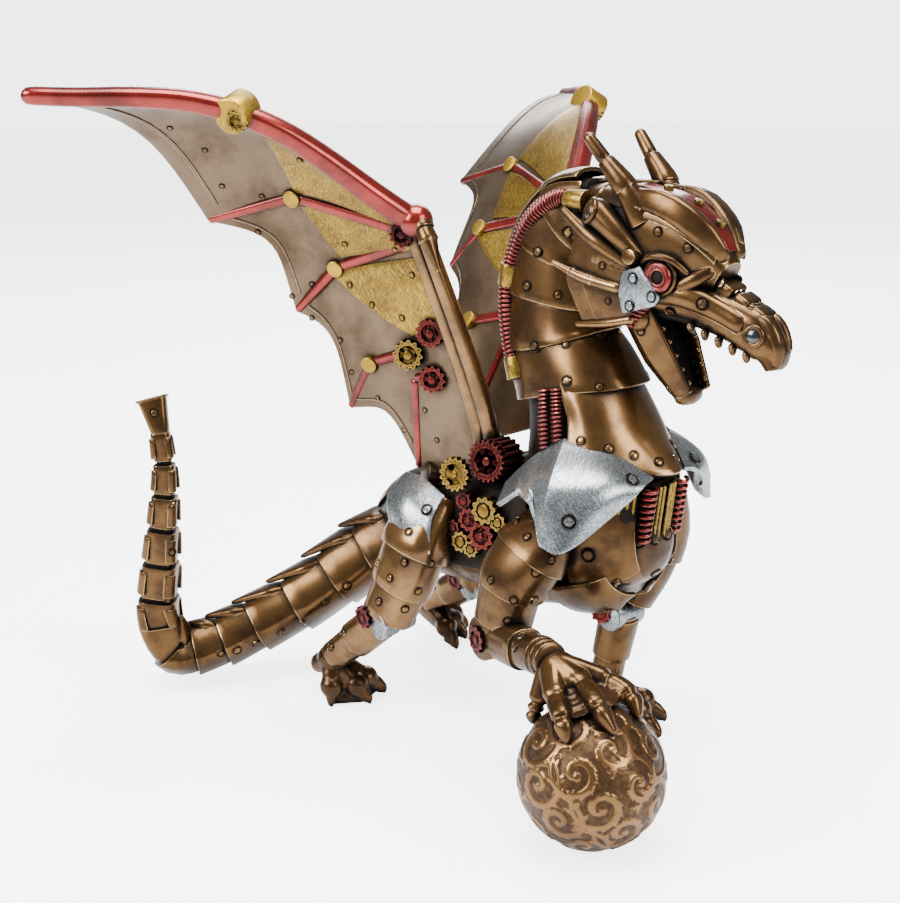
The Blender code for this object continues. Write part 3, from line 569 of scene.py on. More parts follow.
# The neck is a stack of lapped ring plates with an edge down the throat, and the broad golden bib plate
# covers the breast below them. All are screwed and riveted, and a dark core shows in the gaps.
neck = Limb(
    [at(4, 0, 98), at(3, 0, 118), at(-3, 0, 137), at(-12, 0, 154), at(-14, 0, 170), at(-13.5, 0, 186),
     at(-6, 0, 199), at(6, 0, 204)],
    [(22, 26), (19.5, 27), (17.5, 22), (16, 18.5), (14.5, 18), (13.5, 17.5), (12.5, 15), (11, 12)],
    up=(1, 0, 0.1), square=0.8, keel=0.1,
)
neck_core = [neck.tube("neck_core", steps=30, sides=32, lifts=(-2.2, -2.2))]
neck_rings = []
RING_SLOPE, RING_REACH = 0.035, 132
for start, end in ((0.285, 0.43), (0.415, 0.585), (0.57, 0.73), (0.715, 0.85), (0.84, 0.99)):
    rows = []
    for k in range(7):
        t = end + (start - end) * k / 6
        flare = -0.6 + 1.3 * k / 6
        rows.append([neck.on(min(max(t - RING_SLOPE * math.cos(math.radians(a)), 0), 1), a, flare)
                     for a in range(-RING_REACH, RING_REACH + 1, 12)])
    neck_rings.append(sheet("neck_ring", rows, 1.8, 0.45))
for start, end in ((0.34, 0.47), (0.46, 0.60), (0.59, 0.73), (0.72, 0.86), (0.85, 0.97)):
    neck_rings.append(neck.plate("nape_plate", end, start, 140, 220, lift=0.2, thick=1.6, steps=(4, 8)))
done("neck_core", neck_core, black)
neck_plates = done("neck_plates", neck_rings, bronze)

bib_half = [
    [at(1, -16.5, 146), at(8, -14, 145), at(15, -8, 143), at(20, 0, 141)],
    [at(4, -18, 138.5), at(11.5, -16, 138), at(19, -9.5, 136), at(24, 0, 133.5)],
    [at(8, -19, 131), at(16, -17.5, 130), at(24, -10.5, 127.5), at(29, 0, 125.5)],
    [at(10.6, -22, 121.5), at(22, -20, 117.8), at(32.5, -11.5, 113.6), at(40.7, 0, 112.5)],
]
bib_rows = swept([row + [flip(p) for p in reversed(row[:-1])] for row in bib_half], 24, 36)
bib = done("bib_plate", [sheet("bib_plate", bib_rows, 2.0, 0.5)], gold_bronze)
bib_seat = [[p - Vector((2.6, 0, 1.0)) * MM for p in row[3:-3]] for row in bib_rows]
done("bib_backing", [sheet("bib_backing", bib_seat, 2.0, 0.3)], black)

NECK_SCREWS = ((534.5, 346), (567, 381), (538, 252), (527, 286))
NECK_TOP_SCREW = ((568, 232),)
NECK_RIVETS = ((566, 344.5), (599.5, 387), (558, 295), (630, 400), (600, 335))
BIB_RIVETS = ((581, 441), (609, 449), (634, 455.5), (659, 462))
neck_studs = studs_at("screw", 1.75, NECK_SCREWS, [neck_plates], True)
neck_studs += studs_at("screw", 1.75, NECK_TOP_SCREW, [neck_plates], True, turn=80)
neck_studs += studs_at("rivet", 1.45, NECK_RIVETS, [neck_plates], True)
done("neck_studs", neck_studs, bronze)
done("bib_studs", studs_at("rivet", 1.6, BIB_RIVETS, [bib], True), gold_bronze)


# Ribbed hoses, cast and painted red, run down each side of the nape in gold ferrules, and in a pair on
# each side of the neck's foot, where they dive under the mantle.
RIB_DEPTHS = (-0.9, -0.225, 0.0, -0.225)


def ribbed(name, line, radius, pitch=1.55, sides=14):
    """A hose whose skin swells into a rib at each pitch."""
    length = sum((curve_at(line, (k + 1) / 60) - curve_at(line, k / 60)).length for k in range(60)) / MM
    ribs = max(int(length / pitch), 2)
    form = Limb(line, [(radius, radius)] * 2, up=(0.31, 0.17, 0.93), square=1.0)
    rows = []
    for k in range(ribs * 4 + 1):
        lift = RIB_DEPTHS[k % 4]
        rows.append([form.on(k / (ribs * 4), 360 * i / sides, lift) for i in range(sides)])
    return skin(name, rows)


COLLAR_SPREAD = 1.35


def collar(name, place, ahead, radius, length, bossed=False):
    """A turned ferrule: a short sleeve with rounded rims. A bossed one has a raised face on each end."""
    bpy.ops.mesh.primitive_cylinder_add(vertices=24, radius=radius * MM, location=(0, 0, 0),
                                        depth=length * MM * (1 if bossed else COLLAR_SPREAD))
    piece = bpy.context.object
    piece.name = name
    if bossed:
        pick_faces(piece, lambda face: abs(face.normal.z) > 0.5)
        bpy.ops.mesh.inset(thickness=radius * 0.28 * MM)
        bpy.ops.transform.resize(value=(1, 1, COLLAR_SPREAD))
        bpy.ops.object.mode_set(mode="OBJECT")
    soften(piece, min(radius, length) * 0.12, 2)
    return set_up(piece, place, ahead)


hoses, ferrules = [], []
nape_hose = [at(6, -13, 206.5), at(-5, -13, 206), at(-16, -13, 198.5), at(-23.5, -13, 186),
             at(-26.5, -13.5, 172), at(-25, -14, 157), at(-20, -15.5, 143)]
coil_a = [at(-3, -20, 140), at(-1, -22, 130), at(1, -23.5, 119)]
coil_b = [at(2, -19.5, 141), at(4, -21, 131), at(6.5, -22.5, 119)]
for side in (-1, 1):
    hose = to_side(side, nape_hose)
    hoses.append(ribbed("nape_hose", hose, 3.5))
    for line in (coil_a, coil_b):
        hoses.append(ribbed("neck_coil", to_side(side, line), 2.4, 1.5, 12))
    for t in (0.02, 0.60, 0.985):
        ahead = curve_at(hose, min(t + 0.02, 1)) - curve_at(hose, max(t - 0.02, 0))
        ferrules.append(collar("hose_ferrule", curve_at(hose, t), ahead, 3.9, 6.0))
done("hoses", hoses, red, angle=60)
done("hose_ferrules", ferrules, gold)


# The engine bay opens between the mantles over the breast: gold pipes side by side, and a red coil
# spring among them on either side, in a black hollow.
def coil(name, bottom, top, radius, wire, turns):
    """A coil spring of round wire between two places."""
    axis = top - bottom
    stand = axis.to_track_quat("Z", "Y").to_matrix()
    bpy.ops.curve.primitive_bezier_curve_add()
    piece = bpy.context.object
    piece.name = name
    piece.data.splines.clear()
    spline = piece.data.splines.new("POLY")
    count = int(turns * 14)
    spline.points.add(count)
    for k, point in enumerate(spline.points):
        angle = 2 * math.pi * turns * k / count
        p = Vector((math.cos(angle) * radius * MM, math.sin(angle) * radius * MM, axis.length * k / count))
        point.co = (*(bottom + stand @ p), 1)
    piece.matrix_world = Matrix.Identity(4)
    piece.data.bevel_depth = wire * MM
    piece.data.bevel_resolution = 2
    piece.data.use_fill_caps = True
    bpy.ops.object.select_all(action="DESELECT")
    piece.select_set(True)
    bpy.ops.object.convert(target="MESH")
    piece = bpy.context.object
    piece.select_set(False)
    return piece


RING_STEPS = ((0.15, 1.0), (0.45, 1.0), (0.55, 0.88), (0.9, 0.88))


def barrel(name, place, facing, radius, length, rings=0, sides=36):
    """A round drum with rounded edges, and raised rings round it."""
    axis = facing.normalized()
    side = axis.orthogonal().normalized()
    up = axis.cross(side)
    if rings:
        marks = [(0.0, 0.9), (0.01, 1.0), (0.99, 1.0), (1.0, 0.9)]
        marks += [((k + share) / rings, size) for k in range(rings) for share, size in RING_STEPS]
    else:
        marks = [(0.0, 0.86), (0.03, 0.98), (0.05, 1.0), (0.95, 1.0), (0.97, 0.98), (1.0, 0.86)]
    turns = [2 * math.pi * i / sides for i in range(sides)]
    rows = []
    for share, size in sorted(marks):
        centre = place + axis * (share - 0.5) * length * MM
        rows.append([centre + (side * math.cos(a) + up * math.sin(a)) * radius * size * MM for a in turns])
    return skin(name, rows)


bay_pipes, bay_springs = [], []
BAY_FRONT, BAY_CURVE = 36.5, 0.027
for y in (1.8, 3.7, 5.6, 12.8, 14.7, 16.6, 18.5):
    for side in (-1, 1):
        place = at(BAY_FRONT - BAY_CURVE * y * y, side * y, 98)
        bay_pipes.append(barrel("bay_pipe", place, Vector((2.5, 0, 20)), 0.80, 21, sides=12))
for side in (-1, 1):
    bay_springs.append(coil("bay_spring", at(34, side * 9.2, 88), at(37, side * 9.2, 109), 2.4, 0.75, 9))
done("bay_pipes", bay_pipes, gold, angle=60)
done("bay_springs", bay_springs, red, angle=60)
hollow = Limb([at(24, 0, 84), at(25, 0, 96), at(26, 0, 110)], [(18, 9), (19, 10), (17, 9)], up=(1, 0, 0))
done("bay_hollow", [hollow.tube("bay_hollow", steps=6, sides=28)], black)


# The mantles are brushed silver plates that hang from under the bib over each upper arm. They're folded
# along a crease to a low tip, with a flared lip at the back, and two slotted screws hold each of them.
def through(px, py, y):
    """The place that the photograph shows at a pixel, on the upright plane at a distance y to the side."""
    eye, way = sight(px, py)
    return eye + way * (((y + SHIFT_Y) * MM - eye.y) / way.y)


def facing_out(side, rows):
    """The rows of a sheet on the right side, or turned about on the left, so that it still faces outwards."""
    return rows if side < 0 else [list(reversed(row)) for row in rows]


# Three rows of marks from top to bottom: straight folds behind the crease, and a smooth face before it
mantle_back = [
    [through(509, 485, -27), through(522, 472, -26), through(538, 458, -25), through(566, 442, -22)],
    [through(505, 495, -33), through(520, 484, -34), through(533, 481, -35), through(550, 492, -40.5)],
    [through(500, 507, -38), through(518, 495, -41), through(529, 505, -44), through(541, 546, -45.5)],
]
mantle_front = [
    [through(566, 442, -22), through(608, 455, -17), through(652, 481, -9)],
    [through(550, 492, -40.5), through(600, 494, -30), through(638, 492, -17)],
    [through(541, 546, -45.5), through(562, 553, -43), through(606, 516, -28)],
]
mantles = []
for side in (-1, 1):
    rows = []
    for k in range(19):
        back = [curve_at([row[i] for row in mantle_back], k / 18) for i in range(4)]
        front = [curve_at([row[i] for row in mantle_front], k / 18) for i in range(3)]
        row = [here.lerp(there, i / 6) for here, there in zip(back, back[1:]) for i in range(6)]
        row += [curve_at(front, i / 18) for i in range(19)]
        rows.append(to_side(side, row))
    mantles.append(sheet("mantle", facing_out(side, rows), 1.8, 0.35))
mantle = done("mantles", mantles, silver)
MANTLE_LOW_SCREW, MANTLE_TOP_SCREW = (569, 522), (632, 480)
screws = studs_at("screw", 2.3, (MANTLE_LOW_SCREW,), [mantle], True, turn=0)
screws += studs_at("screw", 2.3, (MANTLE_TOP_SCREW,), [mantle], True, turn=70)
done("mantle_screws", screws, silver)


# The skull is one hollow-cheeked form with the snout: a riveted brow plate each side of a red enamel
# channel, a round bar for each cheek, three bolted blocks on the bridge, and a hooked beak.
def bar(name, line, halves, up=(0.1, 0.2, 1), square=0.85, steps=14, sides=18):
    """A solid bar along a line, with rounded ends."""
    form = Limb(line, halves, up, square)
    length = sum((b - a).length for a, b in zip(line, line[1:])) / MM
    rows = []
    for k in range(steps + 1):
        t = 0.5 - 0.5 * math.cos(math.pi * k / steps)
        small = min(between(halves, t))
        near = min(t, 1 - t) * length
        shrink = 0.0 if near > small else small * (1 - math.sqrt(max(1 - (1 - near / small) ** 2, 0.02)))
        rows.append([form.on(t, 360 * i / sides, -shrink) for i in range(sides)])
    return skin(name, rows)


def pair(line):
    """A line on the right side, and its mirror image on the left."""
    return line, [flip(p) for p in line]


skull = Limb([at(-3, 0, 199), at(8, 0, 197), at(22, 0, 195), at(37, 0, 193), at(49, 0, 189), at(58, 0, 184)],
             [(8, 10), (11.5, 14.5), (13, 17), (13.5, 16.5), (11.5, 12.5), (6, 6)], square=0.75)
snout = Limb([at(34, 0, 177), at(48, 0, 175.5), at(60, 0, 172), at(70, 0, 168), at(76.5, 0, 162),
              at(78, 0, 156)], [(11, 7), (9, 7.5), (7.5, 7.5), (7, 8), (6, 6), (2.5, 3)], square=0.75)
head = [skull.tube("skull", steps=28, sides=36), snout.tube("snout", steps=28, sides=30)]
for side in (-1, 1):
    head.append(skull.plate("brow_plate", 0.40, 0.90, -side * 18, -side * 66, lift=1.1, thick=1.6,
                            steps=(8, 8), skew=0.05, edge=0.5))
    head.append(skull.plate("temple_plate", 0.10, 0.42, -side * 12, -side * 60, lift=0.8, thick=1.4,
                            edge=0.5))
    head.append(skull.plate("crown_plate", 0.0, 0.22, -side * 2, -side * 64, lift=1.3, thick=1.6, edge=0.5))
head_bars = (
    ("brow", [at(25, -9, 208.5), at(40, -9.5, 207), at(52, -7, 199.5), at(60, -3.5, 190)],
     [(3.4, 3.4), (4.4, 4.6), (4.4, 4.4), (2.2, 2.2)], 0.45),
    ("cheek_bar", [at(34, -11, 178.5), at(47, -9.6, 178.5), at(60, -6.6, 174), at(70, -5.4, 169.5)],
     [(3.2, 4.6), (3.4, 4.4), (3.0, 3.6), (2.8, 3.4)], 0.85),
    ("eyelid", [at(33, -13.5, 187), at(38, -15.2, 190.6), at(45, -14.0, 190.2), at(50.5, -11, 185.5)],
     [(1.2, 1.0), (1.7, 1.3), (1.7, 1.3), (1.2, 1.0)], 0.85),
    ("eye_corner", [at(46, -12, 180.5), at(52, -9.5, 184), at(57, -6, 187.5)],
     [(1.6, 2.2), (2.2, 2.6), (1.6, 2.0)], 0.85),
    ("beak_ridge", [at(70, -3.4, 173.5), at(76.5, -3.0, 171), at(80, -2.6, 164), at(79.5, -1.6, 156.5)],
     [(1.6, 1.8), (2.0, 2.2), (2.2, 2.4), (1.6, 1.8)], 0.85),
)
for name, right_line, halves, square in head_bars:
    for line in pair(right_line):
        head.append(bar(name, line, halves, square=square))
BRIDGE_TILT, BLOCK_LENGTH, BLOCK_WIDTH, BLOCK_HEIGHT = 27, 6.0, 10.5, 6.6
for k in range(3):
    bpy.ops.mesh.primitive_cube_add(size=1, location=(0, 0, 0))
    block = bpy.context.object
    block.name = "bridge_block"
    block.data.transform(Matrix.Translation(at(59.5 + 6.2 * k, 0, 179.7 - 3.5 * k))
                         @ Matrix.Rotation(math.radians(BRIDGE_TILT), 4, "Y")
                         @ Matrix.Diagonal((BLOCK_LENGTH * MM, (BLOCK_WIDTH - k) * MM, BLOCK_HEIGHT * MM, 1)))
    soften(block, 1.3, 3)
    block.select_set(False)
    head.append(block)
head_piece = done("head", head, bronze)

TEMPLE_BOLTS = ((637.8, 209.4), (658, 231.7), (687.8, 248.3))
CHEEK_BAR_BOLT, CHEEK_BAR_SCREW = (670.6, 312), (702.5, 303.9)
BRIDGE_RIVETS = ((719.7, 283), (735.8, 295), (752.5, 306))
BROW_RIVETS = ((680, 190), (728, 238))
head_studs = studs_at("bolt", 1.5, TEMPLE_BOLTS, [head_piece], True)
head_studs += studs_at("bolt", 1.7, (CHEEK_BAR_BOLT,), [head_piece], True)
head_studs += studs_at("screw", 1.9, (CHEEK_BAR_SCREW,), [head_piece], True, turn=60)
head_studs += studs_at("rivet", 1.7, BRIDGE_RIVETS, [head_piece], True)
head_studs += studs_at("rivet", 1.3, BROW_RIVETS, [head_piece])
done("head_studs", head_studs, bronze)

channel_rows = []
for k in range(15):
    t = 0.36 + 0.58 * k / 14
    half = 15 - 6 * abs(k / 14 - 0.45)
    channel_rows.append([skull.on(t, half * (i / 4 - 1), 1.0) for i in range(9)])
done("skull_channel", [sheet("skull_channel", channel_rows, 1.2, 0.3)], red)
beads = []
for t in (0.52, 0.66, 0.80):
    beads.append(collar("channel_bead", skull.on(t, 0, 1.2), skull.on(t, 0, 3) - skull.on(t, 0, 0), 1.7, 1.6))
done("channel_beads", beads, gold)


# Each eye is a gloss black pupil in concentric red rings, sunk in a dark socket. The nostril lens and
# the lamp behind the brow are painted in the same gloss black, in bronze rims.
def hoop(name, place, facing, radius, wire):
    """A round ring."""
    bpy.ops.mesh.primitive_torus_add(major_segments=40, minor_segments=12, major_radius=radius * MM,
                                     minor_radius=wire * MM, location=(0, 0, 0))
    piece = bpy.context.object
    piece.name = name
    return set_up(piece, place, facing)


def dome(name, place, facing, radius, height, segments=32):
    """A low round lens or button."""
    bpy.ops.mesh.primitive_uv_sphere_add(segments=segments, ring_count=segments // 2, radius=1,
                                         location=(0, 0, 0))
    piece = bpy.context.object
    piece.name = name
    return set_up(piece, place, facing, radius * MM, height * MM)


glass = metal("lens_black", (0.006, 0.010, 0.011), (0.003, 0.005, 0.006), (0.03, 0.05, 0.05), sheen=0.05,
              metallic=0.0, wear=0.0, wash_and_shade_depth=0.3, bump=0.0, coat=1.0)
sockets, eye_rings, lenses, rims, pupils = [], [], [], [], []
for side in (-1, 1):
    out = Vector((0.10, side, 0.05)).normalized()
    eye_place = at(41, side * 13.6, 184)
    sockets.append(dome("eye_socket", eye_place, out, 6.0, 1.6))
    rims.append(hoop("eye_rim", eye_place + out * 0.6 * MM, out, 5.7, 0.75))
    eye_rings.append(hoop("eye_ring", eye_place + out * 2.0 * MM, out, 4.1, 1.15))
    eye_rings.append(hoop("eye_inner_ring", eye_place + out * 2.2 * MM, out, 2.7, 0.45))
    pupils.append(dome("eye_pupil", eye_place + out * 1.3 * MM, out, 3.0, 1.2))
    for kind, place, way, lens, bulge, rim, wire, proud in (
        ("nostril", at(73.5, side * 6.6, 167.5), (0.25, side, 0.15), 2.7, 1.2, 3.0, 0.85, 0.3),
        ("lamp", at(14.5, side * 18.2, 204.2), (-0.55, side * 0.80, 0.35), 3.3, 1.6, 3.9, 0.9, 0.2),
    ):
        out = Vector(way).normalized()
        lenses.append(dome(kind + "_lens", place, out, lens, bulge))
        rims.append(hoop(kind + "_rim", place + out * proud * MM, out, rim, wire))
done("eye_sockets", sockets + pupils, black)
done("eye_rings", eye_rings, red, angle=60)
done("lenses", lenses, glass, angle=60)
done("lens_rims", rims, bronze, angle=60)


# Behind each eye, a frill of thin plates is ribbed by the lamp's body, a pod and two golden spikes, one
# of them banded. A silver cheek plate with three bolts holds them at the front.
frill_pieces, spikes, pods, cheeks = [], [], [], []
frill_half = [
    [at(29, -12.5, 195), at(18, -13.5, 199), at(6, -14, 200)],
    [at(30, -13.5, 186), at(17, -14.5, 189), at(5, -15, 190)],
    [at(30, -13.5, 177), at(16, -14.5, 178), at(3, -15, 180)],
    [at(30, -12.5, 169), at(20, -13.5, 167), at(10, -14, 165)],
]
lamp_line = [at(33, -13, 189), at(24, -15.5, 197), at(12, -16, 206.5)]
pod_line = [at(30, -14, 186), at(15, -16.5, 194.5), at(0, -16.5, 204)]
spike_line = [at(27, -15.4, 178.5), at(12, -17.2, 181), at(-3, -18, 185.5)]
low_spike_line = [at(31, -13.6, 168.6), at(20, -15, 166), at(7, -15.5, 164)]
CHEEK_OUTLINE = ((623, 271), (640, 266), (650, 281), (660, 298), (654, 307), (623, 314), (619, 292))
CHEEK_DEPTH = -16.4
for side in (-1, 1):
    # The frill's rows run from its front to its back on the left side, and the other way on the right
    rows = [to_side(side, row if side > 0 else reversed(row)) for row in swept(frill_half, 12, 10)]
    frill_pieces.append(sheet("frill", rows, 3.0, 0.5, inward=0.0))
    for top, low, behind in ((0, 5, 6), (4, 8, 5), (8, 12, 7)):
        lap = [[p + Vector((0, side * 1.3 * MM, 0))
                for p in (row[-1 - behind:] if side < 0 else row[:behind + 1])]
               for row in rows[top:low + 1]]
        frill_pieces.append(sheet("frill_lap", lap, 1.4, 0.35, inward=0.0))
    pods.append(bar("lamp_body", to_side(side, lamp_line), [(2.0, 2.0), (3.8, 3.8), (5.0, 5.2)], square=1.0,
                    sides=28, steps=20))
    pods.append(bar("pod", to_side(side, pod_line), [(1.8, 1.8), (2.9, 2.9), (0.9, 1.6)], square=0.9,
                    steps=20))
    pods.append(collar("frill_boss", at(31, side * 16.2, 190), Vector((0, side, 0.1)), 2.6, 3.4))
    spike = to_side(side, spike_line)
    spikes.append(bar("spike", spike, [(2.1, 2.1), (2.3, 2.1), (0.8, 0.8)], steps=20))
    for t in (0.42, 0.66):
        spikes.append(collar("spike_band", curve_at(spike, t), Vector((-30, 0, 6)) * MM, 2.7 - t, 1.5))
    spikes.append(bar("low_spike", to_side(side, low_spike_line), [(1.8, 1.7), (1.7, 1.6), (1.0, 1.0)],
                      steps=16))
    bpy.ops.mesh.primitive_circle_add(vertices=len(CHEEK_OUTLINE), fill_type="NGON", location=(0, 0, 0))
    cheek = bpy.context.object
    cheek.name = "cheek_plate"
    outline = to_side(side, [through(px, py, CHEEK_DEPTH) for px, py in CHEEK_OUTLINE])
    for corner, place in zip(cheek.data.vertices, outline):
        corner.co = place
    cheek.select_set(False)
    harden(cheek, "SOLIDIFY", thickness=1.8 * MM, offset=0.0)
    cheeks.append(soften(cheek, 0.6, 3))
frill = done("frill_plates", frill_pieces, bronze)
done("frill_pods", pods, bronze)
done("frill_spikes", spikes, gold_bronze)
cheek_plates = done("cheek_plates", cheeks, silver)
CHEEK_BOLTS = ((633, 278.3), (651.7, 297), (629.7, 306))
FRILL_RIVETS = ((602.5, 265.8), (608, 301))
done("cheek_bolts", studs_at("bolt", 1.75, CHEEK_BOLTS, [cheek_plates], True), silver)
done("frill_studs", studs_at("rivet", 1.2, FRILL_RIVETS, [frill], True), bronze)


# The horns are bronze cones on the crown. Two lapped bands sleeve the root of each, and its tip comes out
# of them bare and blunt.
horns = []
horn_line = [at(30, -8.5, 201), at(24, -11.5, 212), at(16, -13, 221), at(9, -14.5, 229.3)]
for line in pair(horn_line):
    form = Limb(line, [(5.6, 5.2), (4.0, 3.8), (3.0, 2.8), (2.1, 2.0)], square=0.75)
    for start, end in ((0.0, 0.34), (0.32, 0.66)):
        horns.append(soften(form.tube("horn_band", start, end, steps=4, sides=16, lifts=(0.4, -0.1)), 0.35))
    tip = [curve_at(line, t) for t in (0.62, 0.82, 1.0)]
    horns.append(bar("horn_tip", tip, [(2.7, 2.5), (2.4, 2.3), (2.0, 1.9)]))
    horns.append(form.tube("horn_core", 0.0, 0.9, steps=8, sides=16, lifts=(-0.8, -0.8)))
done("horns", horns, bronze)


# The jaw is an open bronze trough hung on round hinges and red springs. A black ribbed throat lines it,
# and small blunt teeth are cast along both jaws.
jaw_line = [at(27, 0, 170), at(36, 0, 156), at(46, 0, 142.5)]
jaw_halves = [(10.5, 8.0), (9.5, 7.5), (6.5, 4.5)]
gape = Vector((0.85, 0, 0.53))


def jaw_rows(steps, wall):
    """Sections of the trough: out round its outside, and back round its inside."""
    rows = []
    for k in range(steps + 1):
        centre = curve_at(jaw_line, k / steps)
        wide, deep = between(jaw_halves, k / steps)
        inner_wide, inner_base, inner_deep = wide - wall, (wide - wall) * 0.5, wall - deep
        outer = [(-wide, deep), (-wide, -deep * 0.3), (-wide * 0.55, -deep), (wide * 0.55, -deep),
                 (wide, -deep * 0.3), (wide, deep)]
        inner = [(inner_wide, deep), (inner_wide, -deep * 0.1), (inner_base, inner_deep),
                 (-inner_base, inner_deep), (-inner_wide, -deep * 0.1), (-inner_wide, deep)]
        rows.append([centre + (Vector((0, 1, 0)) * a + gape * b) * MM for a, b in outer + inner])
    return rows


jaw = [soften(skin("jaw", jaw_rows(10, 2.2)), 0.7, 3)]
jaw.append(bar("chin", [at(44.5, -6.5, 143), at(45.2, 0, 142.4), at(44.5, 6.5, 143)],
               [(3.2, 2.6), (3.6, 3.0), (3.2, 2.6)], up=(1, 0, 0)))
for side in (-1, 1):
    jaw.append(dome("jaw_hinge", at(30, side * 10.6, 168.5), Vector((0, side, 0)), 4.6, 2.0))
jaw_piece = done("jaw", jaw, bronze)
throat, teeth, springs = [], [], []
for k in range(9):
    t = 0.06 + 0.105 * k
    centre = curve_at(jaw_line, t)
    wide, deep = between(jaw_halves, t)
    arc = [centre + (Vector((0, 1, 0)) * (wide - 2.4) * a + gape * (2.2 - deep * b)) * MM
           for a, b in ((-1, -0.3), (-0.9, 0.55), (-0.4, 0.9), (0.4, 0.9), (0.9, 0.55), (1, -0.3))]
    throat.append(bar("throat_rib", arc, [(1.2, 1.2)] * 2, up=(0.3, 0.1, -0.8), steps=16, sides=8))
liner = Limb([at(27, 0, 172), at(36, 0, 158), at(43.5, 0, 146)], [(8.6, 3.0), (7.6, 3.0), (4.6, 2.0)],
             up=gape)
throat.append(liner.tube("throat", steps=8, sides=20))
palate = Limb([at(33, 0, 171), at(48, 0, 169.5), at(61, 0, 166), at(71, 0, 161)],
              [(8.5, 2.6), (7.5, 2.4), (5.6, 2.2), (4.0, 2.0)])
throat.append(palate.tube("palate", steps=8, sides=20))
for side in (-1, 1):
    for k in range(5):
        root = at(50 + 5.0 * k, side * (7.5 - 0.75 * k), 169.6 - 1.9 * k)
        teeth.append(bar("tooth", [root + Vector(p) * MM for p in ((0, 0, 0), (0, 0, -2.2), (0.4, 0, -4.2))],
                         [(1.9, 1.5), (1.7, 1.3), (0.9, 0.8)], up=(1, 0, 0), steps=8, sides=10))
    for k in range(5):
        t = 0.30 + 0.15 * k
        wide, deep = between(jaw_halves, t)
        root = curve_at(jaw_line, t) + (Vector((0, side, 0)) * (wide - 2.4) + gape * (deep - 1.2)) * MM
        teeth.append(bar("low_tooth", [root, root + gape * 1.0 * MM, root + gape * 1.9 * MM],
                         [(1.0, 0.9), (0.9, 0.8), (0.4, 0.4)], up=(0, 1, 0), steps=6, sides=8))
    springs.append(coil("jaw_spring", at(26.5, side * 11.6, 166.5), at(33.5, side * 12.2, 174.5), 2.5, 0.62,
                        6))
done("throat", throat, black)
done("teeth", teeth, bronze)
done("jaw_springs", springs, red, angle=60)
JAW_BOLTS = ((641, 331), (668.6, 389.7))
done("jaw_studs", studs_at("bolt", 1.5, JAW_BOLTS, [jaw_piece], True), bronze)


# The works in each flank sit in a black hollow: a red wheel on the wing hinge's ridged barrel, a yellow
# spoked wheel behind it, and coarse wheels below. All are relief in the casting, so none turns.
TOOTH_DEPTH = 0.17


def wheel(name, place, facing, radius, thick, teeth, holes=0, hole=0.15, out_at=0.52, hub=0.28):
    """A toothed wheel with a sunk face inside its rim, a ring of holes, and a raised hub on each face."""
    bpy.ops.mesh.primitive_cylinder_add(vertices=teeth * 4, radius=1, depth=thick / radius,
                                        location=(0, 0, 0))
    piece = bpy.context.object
    piece.name = name
    # Two corners of the rim in four draw in, which leaves the teeth
    for corner in piece.data.vertices:
        if corner.index // 2 % 4 > 1:
            corner.co.x *= 1 - TOOTH_DEPTH
            corner.co.y *= 1 - TOOTH_DEPTH
    pick_faces(piece, lambda face: abs(face.normal.z) > 0.9)
    bpy.ops.mesh.inset(thickness=0.20, depth=0)
    bpy.ops.mesh.inset(thickness=0.03, depth=-0.12 * thick / radius)
    bpy.ops.object.mode_set(mode="OBJECT")
    if holes:
        cutters = []
        for k in range(holes):
            turn = 2 * math.pi * k / holes
            bpy.ops.mesh.primitive_cylinder_add(vertices=20, radius=hole, depth=3 * thick / radius,
                                                location=(out_at * math.cos(turn), out_at * math.sin(turn),
                                                          0))
            cutters.append(bpy.context.object)
        for cutter in cutters:
            cutter.select_set(True)
        bpy.ops.object.join()
        cutter = bpy.context.object
        bpy.ops.object.transform_apply(location=True, rotation=True, scale=True)
        cutter.select_set(False)
        # The exact solver leaves only the hub of wheels with three or five holes
        harden(piece, "BOOLEAN", object=cutter, operation="DIFFERENCE", solver="FAST")
        bpy.data.objects.remove(cutter)
    bpy.ops.mesh.primitive_cylinder_add(vertices=24, radius=hub, depth=1.10 * thick / radius,
                                        location=(0, 0, 0))
    soften(bpy.context.object, 60, 2)
    piece.select_set(True)
    bpy.context.view_layer.objects.active = piece
    bpy.ops.object.join()
    return set_up(piece, place, facing, radius * MM, radius * MM)


wheel_red = metal("wheel_red", (0.100, 0.008, 0.006), (0.045, 0.004, 0.003), (0.32, 0.07, 0.05),
                  (0.006, 0.002, 0.002), sheen=0.20, metallic=0.8, wash_and_shade_depth=2.8, wear=3.0)
wheel_gold = metal("wheel_gold", (0.190, 0.105, 0.013), (0.09, 0.048, 0.008), (0.64, 0.44, 0.11),
                   (0.008, 0.005, 0.002), sheen=0.20, wash_and_shade_depth=2.8, wear=3.0)
reds, yellows, drums, fields = [], [], [], []
